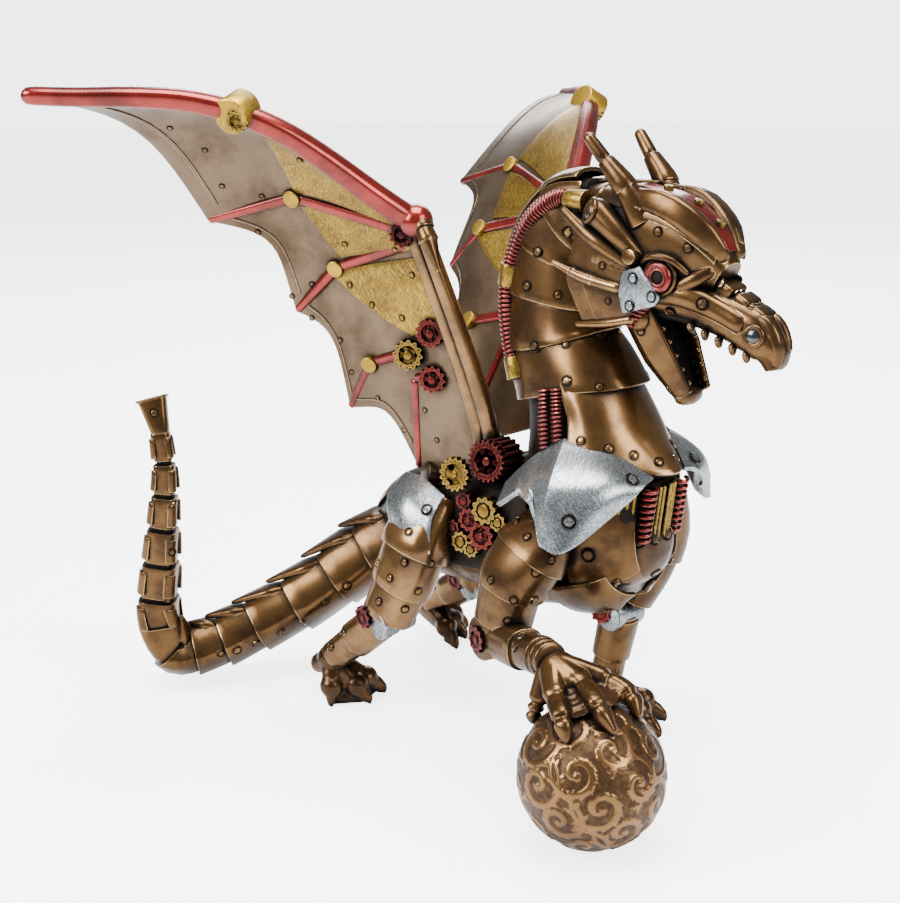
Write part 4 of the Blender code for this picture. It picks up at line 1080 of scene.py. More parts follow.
# Each wheel's colour, pixel, distance to the side, radius, thickness, teeth and holes
flank_wheels = (
    ("red", 488, 461, -26, 8.0, 3.2, 22, 6), ("gold", 456, 474, -30, 6.6, 3.0, 16, 3),
    ("gold", 487, 510, -28, 5.2, 5.0, 10, 0), ("red", 471, 519, -28, 4.4, 4.0, 10, 5),
    ("red", 484, 535, -28, 5.4, 5.0, 10, 5), ("gold", 463, 541, -26.5, 4.0, 4.0, 9, 0),
    ("red", 466, 500, -26.5, 3.4, 4.0, 9, 0), ("gold", 474, 548, -26.5, 3.2, 5.0, 8, 0),
    ("gold", 500, 522, -27.5, 3.4, 4.0, 8, 0), ("red", 455, 527, -26, 3.2, 4.0, 8, 0),
)
HINGE_PIXEL, HINGE_DEPTH, BARREL_RIDGES = (488, 461), -26, 18
for side in (-1, 1):
    outward = Vector((0.15, side * 0.98, 0.10))
    for colour, px, py, y, radius, thick, teeth, holes in flank_wheels:
        place = to_side(side, [through(px, py, y)])[0]
        made = wheel("flank_wheel", place, outward, radius, thick, teeth, holes,
                     hole=0.26 if holes == 3 else 0.15, out_at=0.5, hub=0.2 if holes else 0.45)
        (reds if colour == "red" else yellows).append(made)
    hinge = to_side(side, [through(*HINGE_PIXEL, HINGE_DEPTH)])[0] - outward * 6.5 * MM
    drums.append(barrel("hinge_barrel", hinge, outward, 7.4, 11, rings=1))
    across = outward.orthogonal().normalized()
    up = outward.normalized().cross(across)
    for k in range(BARREL_RIDGES):
        turn = 2 * math.pi * k / BARREL_RIDGES
        ridge = hinge + (across * math.cos(turn) + up * math.sin(turn)) * 7.3 * MM
        reds.append(barrel("barrel_ridge", ridge, outward, 0.95, 11.5, sides=8))
    drums.append(barrel("rear_drum", at(-60, side * 17, 96), Vector((-0.5, side, 0.2)), 5.2, 9))
    fields.append(trunk.plate("works_field", 0.38, 0.62, -side * 40, -side * 116, lift=1.8, thick=2.4,
                              edge=0.8))
done("flank_fields", fields, black)
# The drums are the bronze darkened as painted shade
done("flank_drums", drums, bronze_in_painted_shade)
done("flank_red_wheels", reds, wheel_red, angle=30)
done("flank_gold_wheels", yellows, wheel_gold, angle=30)


# The breast plates are cast as if held by broad flat bolts, with a few rivets along their laps. The
# bolts sit on whichever plate the photograph shows them on.
BREAST_BOLTS = ((588, 555), (638, 541), (667, 533))
BREAST_RIVETS = ((617, 583), (657, 572), (632, 601), (646, 598))
breast = [trunk_plates, core]
done("breast_bolts", studs_at("bolt", 2.3, BREAST_BOLTS, breast, True)
     + studs_at("rivet", 1.5, BREAST_RIVETS, breast, True), bronze)


# The right foreleg hangs from the shoulder in three lapped plates to a wheel at the elbow, and its paw
# lies on the ball: three fingers and a thumb joined by a web.
def melt(name, pieces, voxel, rounds):
    """Fuses pieces into one skin, and smooths it as a carved form is."""
    for piece in pieces:
        piece.select_set(True)
    bpy.context.view_layer.objects.active = pieces[0]
    bpy.ops.object.join()
    fused = bpy.context.object
    fused.name = name
    harden(fused, "REMESH", mode="VOXEL", voxel_size=voxel * MM)
    harden(fused, "SMOOTH", factor=0.5, iterations=rounds)
    fused.select_set(False)
    return fused


BAND_LAP = 0.14


def bands(form, name, cuts, lifts):
    """Plates round a limb, each wider at its lower lip, which laps the next."""
    made = []
    for start, end in zip(cuts, cuts[1:]):
        lip = min(end + BAND_LAP * (end - start), 1.0)
        made.append(soften(form.tube(name, start, lip, 5, 32, lifts), 0.4))
    return made


BALL_MIDDLE, BALL_RADIUS = at(54, -60, 24.59), 25.0


def on_ball(x, y, z, above):
    """The place over the ball in a direction from its middle, at a height above its skin."""
    return BALL_MIDDLE + Vector((x, y, z)).normalized() * (BALL_RADIUS + above) * MM


elbow = at(-5, -42, 52)
wrist = BALL_MIDDLE + Vector((-20.5, 2.5, 34)) * MM
upper_arm = Limb([at(13, -28, 103), at(8, -36, 88), at(2, -41, 74), at(-2, -42, 58)],
                 [(9, 14), (10, 14.5), (9.5, 12), (8, 9)], up=(1, 0, 0))
forearm = Limb([elbow, (elbow + wrist) / 2 - Vector((0, 0, 0.5)) * MM, wrist],
               [(7.6, 8), (6.8, 6.8), (5.2, 5.2)])
arm = bands(upper_arm, "upper_arm_plate", (0.10, 0.38), (-5.0, 1.0))
arm += bands(upper_arm, "upper_arm_plate", (0.36, 0.68, 0.98), (-0.4, 1.4))
arm.append(barrel("elbow", elbow, Vector((0.3, 1, 0)), 8.3, 15))
arm += bands(forearm, "forearm_plate", (0.05, 0.5, 0.88), (-0.3, 0.8))
arm.append(forearm.tube("forearm", 0.0, 1.0, steps=8, sides=24, lifts=(-0.9, -0.6)))
right_arm = done("right_foreleg", arm, bronze)
# The fingers run from the wrist over the ball, and the last is the thumb
fingers = [
    [wrist, on_ball(-10, -6.6, 26, 5.4), on_ball(-1.2, -14.7, 25, 4.2), on_ball(3.6, -17.6, 18.5, 0.9)],
    [wrist, on_ball(-7, 2, 28, 6.0), on_ball(5.4, -5, 28, 4.4), on_ball(14, -6, 21, 0.9)],
    [wrist, on_ball(-5, 10, 29, 7.0), on_ball(6, 11, 27, 5.2), on_ball(12.5, 8.5, 21, 0.9)],
    [wrist, on_ball(-22.5, -3, 23, 5.0), on_ball(-21, -4, 17, 3.0), on_ball(-20, -4, 11, 0.9)],
]
paw = []
for line in fingers:
    out = (line[1] - BALL_MIDDLE).normalized()
    for t0, t1, wide in ((0.0, 0.42, 4.2), (0.37, 0.72, 3.6), (0.67, 1.0, 3.1)):
        part_line = [curve_at(line, t0 + (t1 - t0) * k / 3) for k in range(4)]
        joint, slim = (wide * 0.95, wide * 0.88), (wide * 0.7, wide * 0.65)
        ends = [slim, (1.0, 1.0)] if t1 == 1.0 else [joint, joint]
        paw.append(bar("phalanx", part_line, [(wide, wide * 0.92)] * 2 + ends, up=out, square=0.75, sides=20))
for first, second in zip(fingers[:2], fingers[1:3]):
    rows = []
    for k in range(25):
        t = 0.10 + 0.56 * k / 24
        a, b = curve_at(first, t), curve_at(second, t)
        fold = (0.5 * math.sin(1.9 * k) - 1.6) * MM
        rows.append([a.lerp(b, i / 8) + (a - BALL_MIDDLE).normalized() * fold * math.sin(math.pi * i / 8)
                     for i in range(9)])
    paw.append(sheet("web", rows, 2.6, 0.0, inward=0.0))
paw.append(bar("back_of_hand", [wrist + Vector((-2, 0, 0)) * MM, (wrist + fingers[1][1]) / 2, fingers[1][1]],
               [(5.6, 4.6), (7.0, 3.8), (5.5, 2.2)], up=(0.3, -0.2, 1)))
paw_skin = melt("paw", paw, 0.45, 2)
done("right_paw", [paw_skin], bronze, angle=180)
cuff = [collar("cuff", wrist.lerp(elbow, share), wrist - elbow, radius, 2.6, bossed=True)
        for share, radius in ((0.03, 6.2), (0.10, 6.6), (0.17, 7.0))]
done("right_cuff", cuff, bronze)
RIGHT_ARM_RIVETS = ((516, 521), (527, 537), (536, 573), (551, 560), (514, 600), (491, 580), (534, 600),
                    (508, 621), (522, 636), (515, 647))
done("right_arm_studs", studs_at("rivet", 1.5, RIGHT_ARM_RIVETS, [right_arm]), bronze)
elbow_out = Vector((-0.3, -1, 0))
elbow_wheel = wheel("elbow_wheel", elbow + elbow_out.normalized() * 7.6 * MM, elbow_out, 5.0, 3.0, 10,
                    holes=5, hub=0.3)
done("elbow_wheel", [elbow_wheel], wheel_red, angle=30)


# The feet are webbed, with knuckled toes and a heel spur, and flat beneath. They're painted darker than
# the body.
def foot(name, ankle, toes, heel):
    """Toes, a heel spur and the webs between, fused into one skin and cut flat at the floor."""
    parts = [bar("ankle", [ankle + Vector((0, 0, 6)) * MM, ankle - Vector((0, 0, 6)) * MM],
                 [(5.6, 5.6), (6.6, 6.6)], up=(1, 0, 0)),
             bar("heel", [ankle, heel], [(4.9, 4.9), (4.2, 4.0)])]
    lines = []
    for toe in toes:
        knuckle = ankle.lerp(toe, 0.55)
        knuckle.z = toe.z + 7.5 * MM
        lines.append([ankle - Vector((0, 0, 3)) * MM, knuckle, toe])
    for line in lines:
        form = Limb(line, [(4.9, 5.2), (4.3, 4.9), (3.4, 3.4), (1.6, 1.6)], square=0.75)
        parts.append(form.tube("toe", steps=16, sides=16))
        knuckle = curve_at(line, 0.62) + Vector((0, 0, 0.6)) * MM
        parts.append(dome("toe_knuckle", knuckle, Vector((0, 0, 1)), 5.0, 5.0, 16))
        ahead = (line[2] - line[1]).normalized()
        claw = [line[2] - ahead * 5.5 * MM + Vector((0, 0, 3)) * MM, line[2] + Vector((0, 0, 1.6)) * MM,
                line[2] + ahead * 1.2 * MM - Vector((0, 0, 0.8)) * MM]
        parts.append(bar("toe_claw", claw, [(2.2, 2.4), (1.8, 2.0), (0.7, 0.7)], square=0.9))
    for first, second in zip(lines, lines[1:]):
        rows = []
        for k in range(9):
            t = 0.05 + 0.095 * k
            a, b = curve_at(first, t), curve_at(second, t)
            a.z, b.z = a.z - 0.5 * MM, b.z - 0.5 * MM
            top = [a.lerp(b, i / 6) - Vector((0, 0, 2.2)) * MM * math.sin(math.pi * i / 6) * t
                   for i in range(7)]
            # Beyond the ankle, the web's underside dips below the floor, where the foot is cut flat
            under = [Vector((p.x, p.y, min(p.z - 3 * MM, -MM) if t > 0.45 else p.z - 3 * MM))
                     for p in reversed(top)]
            rows.append(top + under)
        parts.append(skin("web", rows))
    fused = melt(name, parts, 0.7, 3)
    fused.select_set(True)
    bpy.ops.object.mode_set(mode="EDIT")
    bpy.ops.mesh.select_all(action="SELECT")
    bpy.ops.mesh.bisect(plane_co=(0, 0, 0), plane_no=(0, 0, 1), use_fill=True, clear_inner=True)
    bpy.ops.object.mode_set(mode="OBJECT")
    fused.select_set(False)
    return fused


foot_bronze = metal("foot_bronze", (0.095, 0.048, 0.020), (0.045, 0.022, 0.010), (0.60, 0.38, 0.19),
                    sheen=0.16)
feet = [foot("left_forefoot", at(-3, 20, 12), [at(17, 6, 1.3), at(25, 18, 1.3), at(18, 31, 1.3)],
             at(-13, 21, 6)),
        foot("right_hind_foot", at(-92, -44, 18), [at(-87, -50, 1.3), at(-78, -38, 1.3), at(-81, -27, 1.3)],
             at(-103, -44, 11)),
        foot("left_hind_foot", at(-113, 33, 15), [at(-91, 27, 1.3), at(-96, 38, 1.3), at(-104, 47, 1.3)],
             at(-120, 33, 9))]
done("feet", feet, foot_bronze, angle=180)


# The left foreleg stands straight in lapped bronze plates. A silver joint crosses its knee, with a red
# wheel on each end.
left_upper = Limb([at(13, 27, 98), at(14, 28, 82), at(11, 26, 67), at(6, 21, 53)],
                  [(9, 12), (10, 12), (9, 11), (8, 9)], up=(1, 0, 0))
left_knee, left_ankle = at(4, 20, 46), at(-3, 20, 12)
left_shin = Limb([left_knee, (left_knee + left_ankle) / 2, left_ankle], [(7.8, 8), (6.2, 6.2), (5, 5)],
                 up=(1, 0, 0))
leg = bands(left_upper, "left_arm_plate", (0.0, 0.5, 0.98), (-0.4, 1.2))
leg += bands(left_shin, "left_shin_plate", (0.04, 0.5, 0.9), (-0.3, 1.0))
leg.append(left_shin.tube("left_shin", 0.0, 1.0, steps=8, sides=24, lifts=(-0.9, -0.2)))
done("left_foreleg", leg, bronze)
done("left_knee_joint", [barrel("left_knee_joint", left_knee, Vector((0.1, 1, 0)), 6.6, 15)], silver)
left_knee_wheels = [wheel("left_knee_wheel", left_knee + Vector((-3.5, side * 7.6, 1)) * MM,
                          Vector((0.1, side, 0)), 4.8, 2.4, 10, holes=5, hub=0.3) for side in (-1, 1)]
done("left_knee_wheels", left_knee_wheels, wheel_red, angle=30)


# Each hind leg has a plated thigh and shin in golden bronze, and a silver joint at the knee between two
# red wheels. A silver plate held by a screw caps the hip.
thighs, joints, wheels, hips = [], [], [], []
for side, hip, knee, ankle in ((-1, at(-56, -21, 88), at(-65, -39, 42), at(-92, -44, 18)),
                               (1, at(-61, 21, 84), at(-84, 33, 33), at(-113, 33, 15))):
    thigh = Limb([hip, hip.lerp(knee, 0.33) + Vector((3, side * 4, 0)) * MM,
                  hip.lerp(knee, 0.68) + Vector((2, side * 2, 0)) * MM, knee],
                 [(10, 14), (10.5, 13.5), (9.5, 11.5), (8, 9)], up=(1, 0, 0))
    shin = Limb([knee, knee.lerp(ankle, 0.5), ankle], [(7.4, 8), (6.4, 7), (5.2, 5.2)])
    thighs += bands(thigh, "thigh_plate", (0.0, 0.36, 0.68, 0.98), (-0.4, 1.2))
    thighs += bands(shin, "shin_plate", (0.06, 0.5, 0.9), (-0.3, 0.9))
    thighs.append(shin.tube("shin", 0.0, 1.0, steps=8, sides=24, lifts=(-0.9, -0.2)))
    axle = Vector((0.1, 1, 0.1)).normalized()
    joints.append(barrel("knee_joint", knee + Vector((2.5, 0, -1)) * MM, axle, 5.8, 15.5, rings=3))
    for way in (-1, 1):
        wheels.append(wheel("knee_wheel", knee + axle * way * 7.6 * MM + Vector((-4.5, 0, 1)) * MM,
                            axle * way, 4.6, 2.6, 10, holes=5, hub=0.3))
    cover = [
        [hip + Vector(p) * MM for p in ((-14, side * 2, 8), (-2, side * 5, 9), (10, side * 5, 4))],
        [hip + Vector(p) * MM for p in ((-14, side * 12, 0), (-2, side * 15, 0), (11, side * 13, -4))],
        [hip + Vector(p) * MM for p in ((-5, side * 18, -12), (3, side * 19, -14), (13, side * 16, -16))],
    ]
    hips.append(sheet("hip_plate", facing_out(side, swept(cover, 12, 12)), 2.0, 0.6, inward=0.0))
hind = done("hind_legs", thighs, gold_bronze)
done("knee_joints", joints, silver)
done("knee_wheels", wheels, wheel_red, angle=30)
hip_plates = done("hip_plates", hips, silver)
HIP_SCREW = (427, 510)
HIND_RIVETS = ((409, 532), (377, 563), (390, 578), (404.6, 562.4), (431, 563.5), (418, 591), (379, 601.5),
               (405, 609), (331, 647), (343, 632))
done("hip_screws", studs_at("screw", 2.0, (HIP_SCREW,), [hip_plates], True), silver)
done("hind_studs", studs_at("rivet", 1.5, HIND_RIVETS, [hind]), gold_bronze)


# The tail is a chain of bronze scutes that curls to the right: lapped and crested while it lies low, and
# apart, each with four plates, where it rises to its flared end. A dark core shows in the gaps.
tail_form = Limb([at(-90, -3, 61), at(-104, -15, 49), at(-119, -33, 33), at(-133, -52, 21),
                  at(-143, -68, 14.5), at(-151, -80, 14.5), at(-155, -83, 31), at(-153, -82.5, 52),
                  at(-150, -82, 73), at(-149, -81, 92), at(-151, -81, 110)],
                 [(12, 16), (11.5, 15), (10, 13.5), (9, 12), (8.5, 10), (8.5, 9), (8, 8.5), (7, 7),
                  (5.5, 5.5), (4.3, 4.3), (3.6, 3.6)], up=(0.55, -0.6, 0.6), square=0.55)
SCUTES, FIRST_RISING, CREST_TURN = 14, 8, 72
scutes = []
for k in range(SCUTES):
    start, finish = k / SCUTES, (k + 1) / SCUTES
    if k >= FIRST_RISING:
        scutes.append(soften(tail_form.tube("scute", start, finish - 0.11 / SCUTES, 4, 28, (-0.5, 0.2)), 0.5))
        for turn in (45, 135, 225, 315):
            scutes.append(tail_form.plate("tail_plate", start + 0.008, finish - 0.018, turn - 30, turn + 30,
                                          lift=0.9, thick=1.4, steps=(4, 6), edge=0.35))
    else:
        scutes.append(soften(tail_form.tube("scute", start, finish + 0.10 / SCUTES, 4, 28, (-0.9, 0.9)), 0.5))
        crest = [tail_form.on(start + 0.005, CREST_TURN, -2.0),
                 tail_form.on((start + finish) / 2, CREST_TURN, 0.6),
                 tail_form.on(finish + 0.03, CREST_TURN, 4.6 - 0.4 * k)]
        wide = 9.0 - 0.7 * k
        outward = tail_form.on(finish, CREST_TURN, 1) - tail_form.on(finish, CREST_TURN, 0)
        scutes.append(bar("crest", crest, [(wide * 0.9, 2.2), (wide, 2.2), (0.9, 0.8)], up=outward,
                          square=0.55))
flare = Limb([at(-150, -81, 107), at(-151.35, -81, 111), at(-154.1, -81, 119), at(-155.2, -81, 122)],
             [(3.2, 3.0), (4.0, 3.4), (5.4, 3.4), (6.2, 3.2)], up=(-0.69, 0.72, 0), square=0.6)
scutes.append(soften(flare.tube("tail_end", steps=8, sides=24), 0.7, 3))
scutes.append(soften(flare.tube("tail_lip", 0.86, 1.0, 3, 24, (0.2, 0.9)), 0.5))
tail = done("tail", scutes, bronze)
done("tail_core", [tail_form.tube("tail_core", steps=60, sides=24, lifts=(-1.5, -1.2))], black)
TAIL_SCREWS = ((347, 585.6), (237, 650))
TAIL_RIVETS = ((325, 602), (302, 622), (281, 631), (256, 643), (221, 653), (175, 504), (172, 552), (168, 600),
               (154, 413))
tail_studs = studs_at("screw", 1.7, TAIL_SCREWS, [tail]) + studs_at("rivet", 1.5, TAIL_RIVETS, [tail])
done("tail_studs", tail_studs, bronze)


# Each wing is one casting: a satin bronze sheet spread on jointed struts that fan from the wrist. The
# left one is the right one's mirror image, turned and lifted a little at its root.
# KNUCKLES, TIPS and STRUT_ROOTS go by strut, and SHEET_ROOTS and the two PANEL lists by panel between them.
WING_ROOT, WING_WRIST = at(-31, -17, 108), at(-50, -37.5, 196.5)
ARM_LINE = [WING_ROOT, at(-33, -21, 128), at(-40, -28, 158), WING_WRIST]
KNUCKLES = [at(-84, -89, 236), at(-94, -56, 204), at(-91, -38, 176.5), at(-82, -29.5, 139.5),
            at(-61, -26.5, 136)]
TIPS = [at(-134, -142, 241.5), at(-129.5, -68.5, 193.5), at(-108.5, -44, 158), at(-97.5, -26.5, 118.5),
        at(-66.5, -19, 98)]
STRUT_ROOTS = [WING_WRIST, at(-52, -37, 193), at(-51, -35, 190), at(-60, -28.5, 147), at(-55, -26, 138)]
SHEET_ROOTS = [WING_WRIST, at(-49, -36, 192), at(-47, -34, 187), at(-39, -27, 154), at(-34, -22, 134),
               WING_ROOT]
SHEET_FOOT = at(-62, -17.5, 93)
PANEL_INSETS = (0.12, 0.42, 0.44, 0.40)
PANEL_BILLOWS = [Vector(p) * MM for p in ((0, 0, 11), (-2, -2, 3), (0, -2, 0), (0, -1, 0))]


def sheet_line(k, s):
    """The sheet's line from root to rear edge, at share s of the way across the panel k."""
    swell = math.sin(math.pi * s)
    root = SHEET_ROOTS[k].lerp(SHEET_ROOTS[k + 1], s)
    middle = KNUCKLES[k].lerp(KNUCKLES[k + 1], s)
    tip = TIPS[k].lerp(TIPS[k + 1], s).lerp(middle, PANEL_INSETS[k] * swell)
    return [root, middle + PANEL_BILLOWS[k] * swell * 0.5, tip + PANEL_BILLOWS[k] * swell]


def wing_rows(across, along):
    """The whole sheet's rows, panel by panel, down to its foot behind the wing's root."""
    rows = []
    for k in range(4):
        for j in range(across):
            rows.append([curve_at(sheet_line(k, j / across), i / along) for i in range(along + 1)])
    last = [[SHEET_ROOTS[-2], KNUCKLES[-1], TIPS[-1]],
            [SHEET_ROOTS[-1], SHEET_ROOTS[-1].lerp(SHEET_FOOT, 0.5), SHEET_FOOT]]
    for j in range(across // 2 + 1):
        line = [a.lerp(b, j / (across // 2)) for a, b in zip(*last)]
        rows.append([curve_at(line, i / along) for i in range(along + 1)])
    return rows


LEFT_WING_TURN, LEFT_WING_SHIFT = (-9.7, 4.5, 5.3), (-3, -1, 6)


def left_wing_place():
    """Turns and lifts the mirror image of the right wing about its root."""
    turn = Vector(math.radians(a) for a in LEFT_WING_TURN)
    root = flip(WING_ROOT)
    return (Matrix.Translation(root + Vector(LEFT_WING_SHIFT) * MM) @ Matrix.Rotation(turn.length, 4, turn)
            @ Matrix.Translation(-root))


def both_wings(name, pieces, finish, angle=38):
    """Finishes the right wing's pieces, and a mirrored copy of them as the left wing's."""
    right = done("right_" + name, pieces, finish, "right_wing", angle)
    bpy.ops.object.select_all(action="DESELECT")
    right.select_set(True)
    bpy.context.view_layer.objects.active = right
    bpy.ops.object.duplicate()
    left = bpy.context.object
    mirror = Matrix.Translation((0, 2 * SHIFT_Y * MM, 0)) @ Matrix.Diagonal((1, -1, 1, 1))
    left.data.transform(left_wing_place() @ mirror)
    bpy.ops.object.mode_set(mode="EDIT")
    bpy.ops.mesh.select_all(action="SELECT")
    bpy.ops.mesh.flip_normals()
    bpy.ops.object.mode_set(mode="OBJECT")
    left.select_set(False)
    return right, done("left_" + name, [left], finish, "left_wing", angle)


satin = metal("wing_bronze", (0.140, 0.094, 0.056), (0.068, 0.041, 0.022), (0.54, 0.38, 0.23),
              (0.025, 0.015, 0.009), sheen=0.22, clouds=40.0, bump=0.03)
yellow = metal("yellow_brass", (0.50, 0.30, 0.022), (0.28, 0.155, 0.012), (0.94, 0.74, 0.22),
               (0.05, 0.03, 0.006), sheen=0.30, strokes=(0.30, 80.0))
membrane = sheet("membrane", wing_rows(12, 28), 1.8, 0.5, inward=0.0)
right_membrane, _ = both_wings("membrane", [membrane], satin)


# A strut is a ridge as far as its knuckle, and a tip beyond it. Both curve on the leading strut alone.
STRUT_UP = (0.3, -0.9, -0.3)
STRUT_HALVES = ((4.4, 3.8, 2.9), (2.6, 2.2, 1.6), (2.6, 2.2, 1.6), (2.4, 2.0, 1.6), (2.0, 1.9, 1.6))
ridges, tips, panels = [], [], []
for k, (root, middle, tip) in enumerate(STRUT_HALVES):
    line = [STRUT_ROOTS[k], KNUCKLES[k], TIPS[k]]
    near, far = [line[0], line[0].lerp(line[1], 0.5), line[1]], [line[1], line[1].lerp(line[2], 0.5), line[2]]
    if k == 0:
        near, far = [curve_at(line, i / 8) for i in range(5)], [curve_at(line, i / 8) for i in range(4, 9)]
    ridges.append(bar("strut_ridge", near, [(root, root), (middle, middle)], up=STRUT_UP, square=0.75,
                      steps=20))
    tips.append(bar("strut_tip", far, [(middle, middle), (tip, tip)], up=STRUT_UP, square=0.75, steps=20))
# Each gold panel's number, how far out it reaches and draws in, and where it starts and ends across
for k, t1, taper, s0, s1 in ((0, 0.50, 0.02, 0.10, 0.94), (1, 0.48, 0.05, 0.12, 0.90),
                             (2, 0.54, 0.34, 0.06, 0.86)):
    rows = []
    for j in range(13):
        line = sheet_line(k, s0 + (s1 - s0) * j / 12)
        rows.append([curve_at(line, 0.05 + (t1 - taper * j / 12 - 0.05) * i / 14) for i in range(15)])
    panels.append(sheet("gold_panel", rows, 3.2, 0.4, inward=0.0))
HEM_START, HEM_MIDDLE, HEM_END = 0.895, 0.905, 0.915
hems = []
for k in range(4):
    rows = []
    for j in range(19):
        line = sheet_line(k, 0.06 + 0.88 * j / 18)
        rows.append([curve_at(line, t) for t in (HEM_START, HEM_MIDDLE, HEM_END)])
    hems.append(sheet("hem", rows, 2.7, 0.3, inward=0.0))
front = Vector(STRUT_UP).normalized()
arm_pieces = []
for shift in (-2.6, 2.6):
    line = [p + (Vector((0.95, 0.1, 0.1)) * shift) * MM for p in ARM_LINE]
    arm_pieces.append(bar("wing_arm", line, [(3.0, 3.4), (3.0, 3.2), (2.8, 3.0), (2.6, 2.8)], up=front,
                          square=0.7, steps=30))
right_arms, _ = both_wings("arm", arm_pieces, gold_bronze)
both_wings("red_struts", ridges + tips, red)
right_panels, _ = both_wings("gold_panels", panels, gold)
both_wings("hems", hems, satin)
caps = [barrel("cap", KNUCKLES[0], front, 6.4, 11)]
for place in KNUCKLES[1:4]:
    caps.append(barrel("knuckle", place, front, 3.3, 6.4))
right_caps, _ = both_wings("caps", caps, yellow)
wrist_ball = dome("wrist_ball", WING_WRIST + Vector((0.5, 0, 0.5)) * MM, front, 6.3, 6.3)
# Each wing wheel's colour, pixel, radius and teeth, and how far it stands off what is seen there
WING_WHEELS = (("red", 432, 332, 5.4, 14, 0.6), ("red", 434, 378, 5.2, 12, 0.6),
               ("red", 404, 234, 4.6, 12, 0.6), ("gold", 411, 353, 5.8, 12, 1.6))
CAP_WHEEL_PIXEL = (237, 121)
wheel_front = Vector((0.45, -0.85, 0.0)).normalized()
wing_reds, wing_golds = [], []
for colour, px, py, radius, teeth, proud in WING_WHEELS:
    place, _, _ = looked_at(px, py, [right_membrane, right_arms])
    made = wheel("wing_wheel", place + wheel_front * proud * MM, wheel_front, radius, 5.6, teeth, holes=5)
    (wing_reds if colour == "red" else wing_golds).append(made)
place, _, _ = looked_at(*CAP_WHEEL_PIXEL, [right_caps])
wing_golds.append(wheel("cap_wheel", place, Vector((0.62, -0.75, -0.25)), 3.8, 1.6, 12, holes=5))
both_wings("red_wheels", wing_reds, wheel_red, angle=30)
both_wings("wrist_ball", [wrist_ball], red)
both_wings("gold_wheels", wing_golds, wheel_gold, angle=30)
PANEL_RIVETS = ((262, 140), (300, 160), (335, 178), (372, 202), (300, 196), (340, 212), (352, 262),
                (395, 250), (412, 275), (402, 318), (372, 305), (350, 285), (300, 222), (345, 244))
SHEET_RIVETS = ((205, 150), (222, 186), (170, 128), (258, 232), (292, 296), (312, 318), (352, 372),
                (340, 340), (262, 196), (312, 284), (378, 398), (404, 430), (425, 410), (437, 440))
both_wings("panel_rivets", studs_at("rivet", 1.15, PANEL_RIVETS, [right_panels]), gold)
both_wings("sheet_rivets", studs_at("rivet", 1.0, SHEET_RIVETS, [right_membrane]), satin)
thumb_line = [WING_WRIST + Vector(p) * MM for p in ((2, 0, 2), (8, -1, -6), (13, -1, -16))]
thumb_form = Limb(thumb_line, [(3.8, 3.6), (3.2, 3.0), (0.9, 0.9)], up=(1, 0, 0.2))
thumb = [soften(thumb_form.tube("thumb", start, end, 4, 20, (-0.3, 0.5)), 0.35)
         for start, end in ((0.0, 0.26), (0.24, 0.5))]
thumb.append(thumb_form.tube("thumb_claw", 0.45, 1.0, 10, 20))
both_wings("thumb", thumb, bronze)


# The ball is cast apart from the figure, with copper-coloured scrolls and leaves raised over a dark
# ground. The scrolls are spread evenly, and every other one winds the other way.
SCROLLS, SCROLL_STEPS, LEAF_STEPS = 38, 120, 10
SCROLL_START, SCROLL_REACH, SCROLL_TURNS = 0.040, 0.36, 9.2
EYE_WIDTH, EYE_STEPS, LEAF_EVERY, LEAF_REACH, LEAVES_FROM = 0.050, 6, 7, 0.13, 0.30
GROUND_RADIUS, RELIEF_HEIGHT, RELIEF_SLOPE = 24.75, 0.40, 0.034


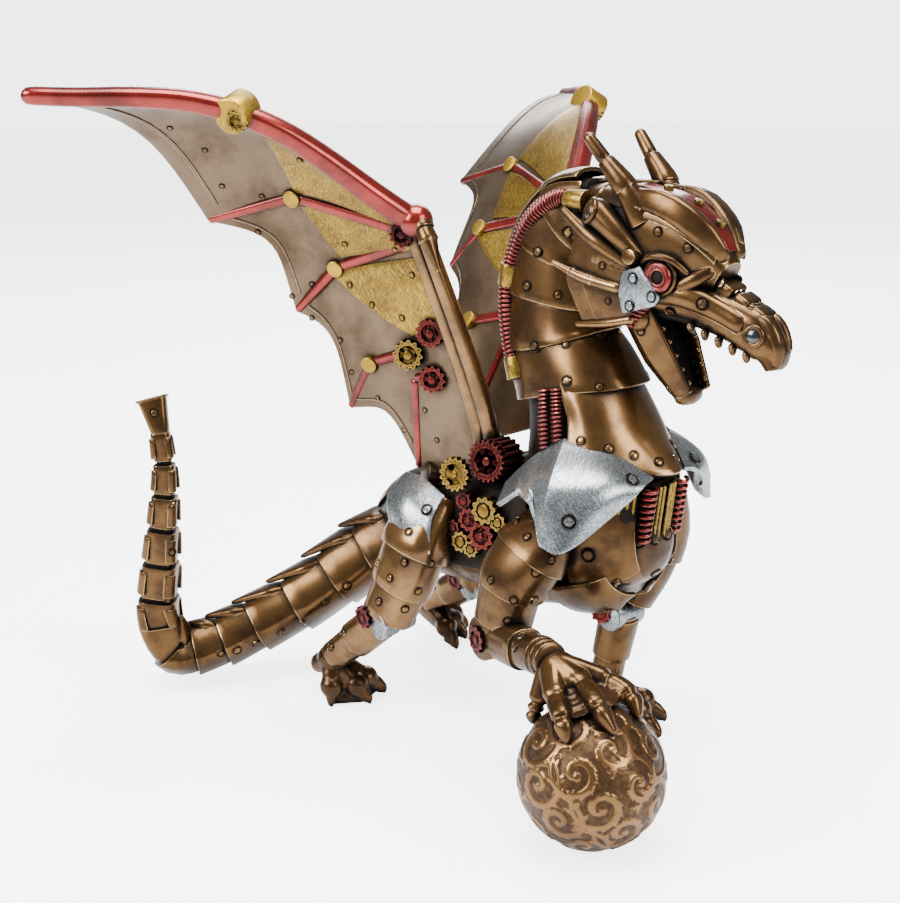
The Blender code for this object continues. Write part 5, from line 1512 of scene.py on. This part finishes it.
def scroll_marks():
    """Points along the scrolls on a ball of radius one, each with the half width of the scroll there."""
    marks = []
    for n in range(SCROLLS):
        high = 1 - 2 * (n + 0.5) / SCROLLS
        around = n * math.pi * (3 - math.sqrt(5))
        level = math.sqrt(1 - high * high)
        centre = Vector((level * math.cos(around), level * math.sin(around), high))
        east = Vector((0, 0, 1)).cross(centre).normalized()
        north = centre.cross(east)
        way = 1 if n % 2 else -1

        def lay(reach, turn):
            flat = east * math.cos(turn) + north * math.sin(turn)
            return centre * math.cos(reach) + flat * math.sin(reach)

        for k in range(SCROLL_STEPS + 1):
            t = k / SCROLL_STEPS
            reach = SCROLL_START + SCROLL_REACH * t ** 1.2
            turn = 2.4 * n + way * SCROLL_TURNS * t
            width = 0.022 + 0.026 * math.sin(math.pi * t)
            marks.append((lay(reach, turn), width if k > EYE_STEPS else EYE_WIDTH))
            if k % LEAF_EVERY == 5 and t > LEAVES_FROM:
                for j in range(LEAF_STEPS):
                    u = j / (LEAF_STEPS - 1)
                    swing = way * (0.9 * u - 0.5 * u * u) * 0.10 / reach
                    width = 0.034 * math.sin(math.pi * min(u + 0.25, 1.0)) + 0.005
                    marks.append((lay(reach + LEAF_REACH * t * u, turn + swing), width))
    return marks


bpy.ops.mesh.primitive_uv_sphere_add(segments=400, ring_count=200, radius=1, location=(0, 0, 0))
orb = bpy.context.object
orb.select_set(False)
marks = scroll_marks()
nearest = KDTree(len(marks))
for k, (place, _) in enumerate(marks):
    nearest.insert(place, k)
nearest.balance()
relief = orb.data.attributes.new("relief", "FLOAT", "POINT")
for corner in orb.data.vertices:
    gap = min(near[2] - marks[near[1]][1] for near in nearest.find_n(corner.co, 4))
    share = min(max(0.5 - gap / RELIEF_SLOPE, 0.0), 1.0)
    share = share * share * (3 - 2 * share)
    relief.data[corner.index].value = share
    corner.co = BALL_MIDDLE + corner.co * (GROUND_RADIUS + RELIEF_HEIGHT * share) * MM
    corner.co.z = max(corner.co.z, 0.0)
copper = metal("engraved_copper", (0.205, 0.105, 0.040), (0.120, 0.057, 0.021), (0.74, 0.48, 0.24),
               (0.026, 0.013, 0.006), sheen=0.15, carved=True)
done("ball_scrolls", [orb], copper, "ball", angle=60)


# Last, the studs that all the others were copied from are cleared away.
for prototype in stud_kinds.values():
    bpy.data.objects.remove(prototype)
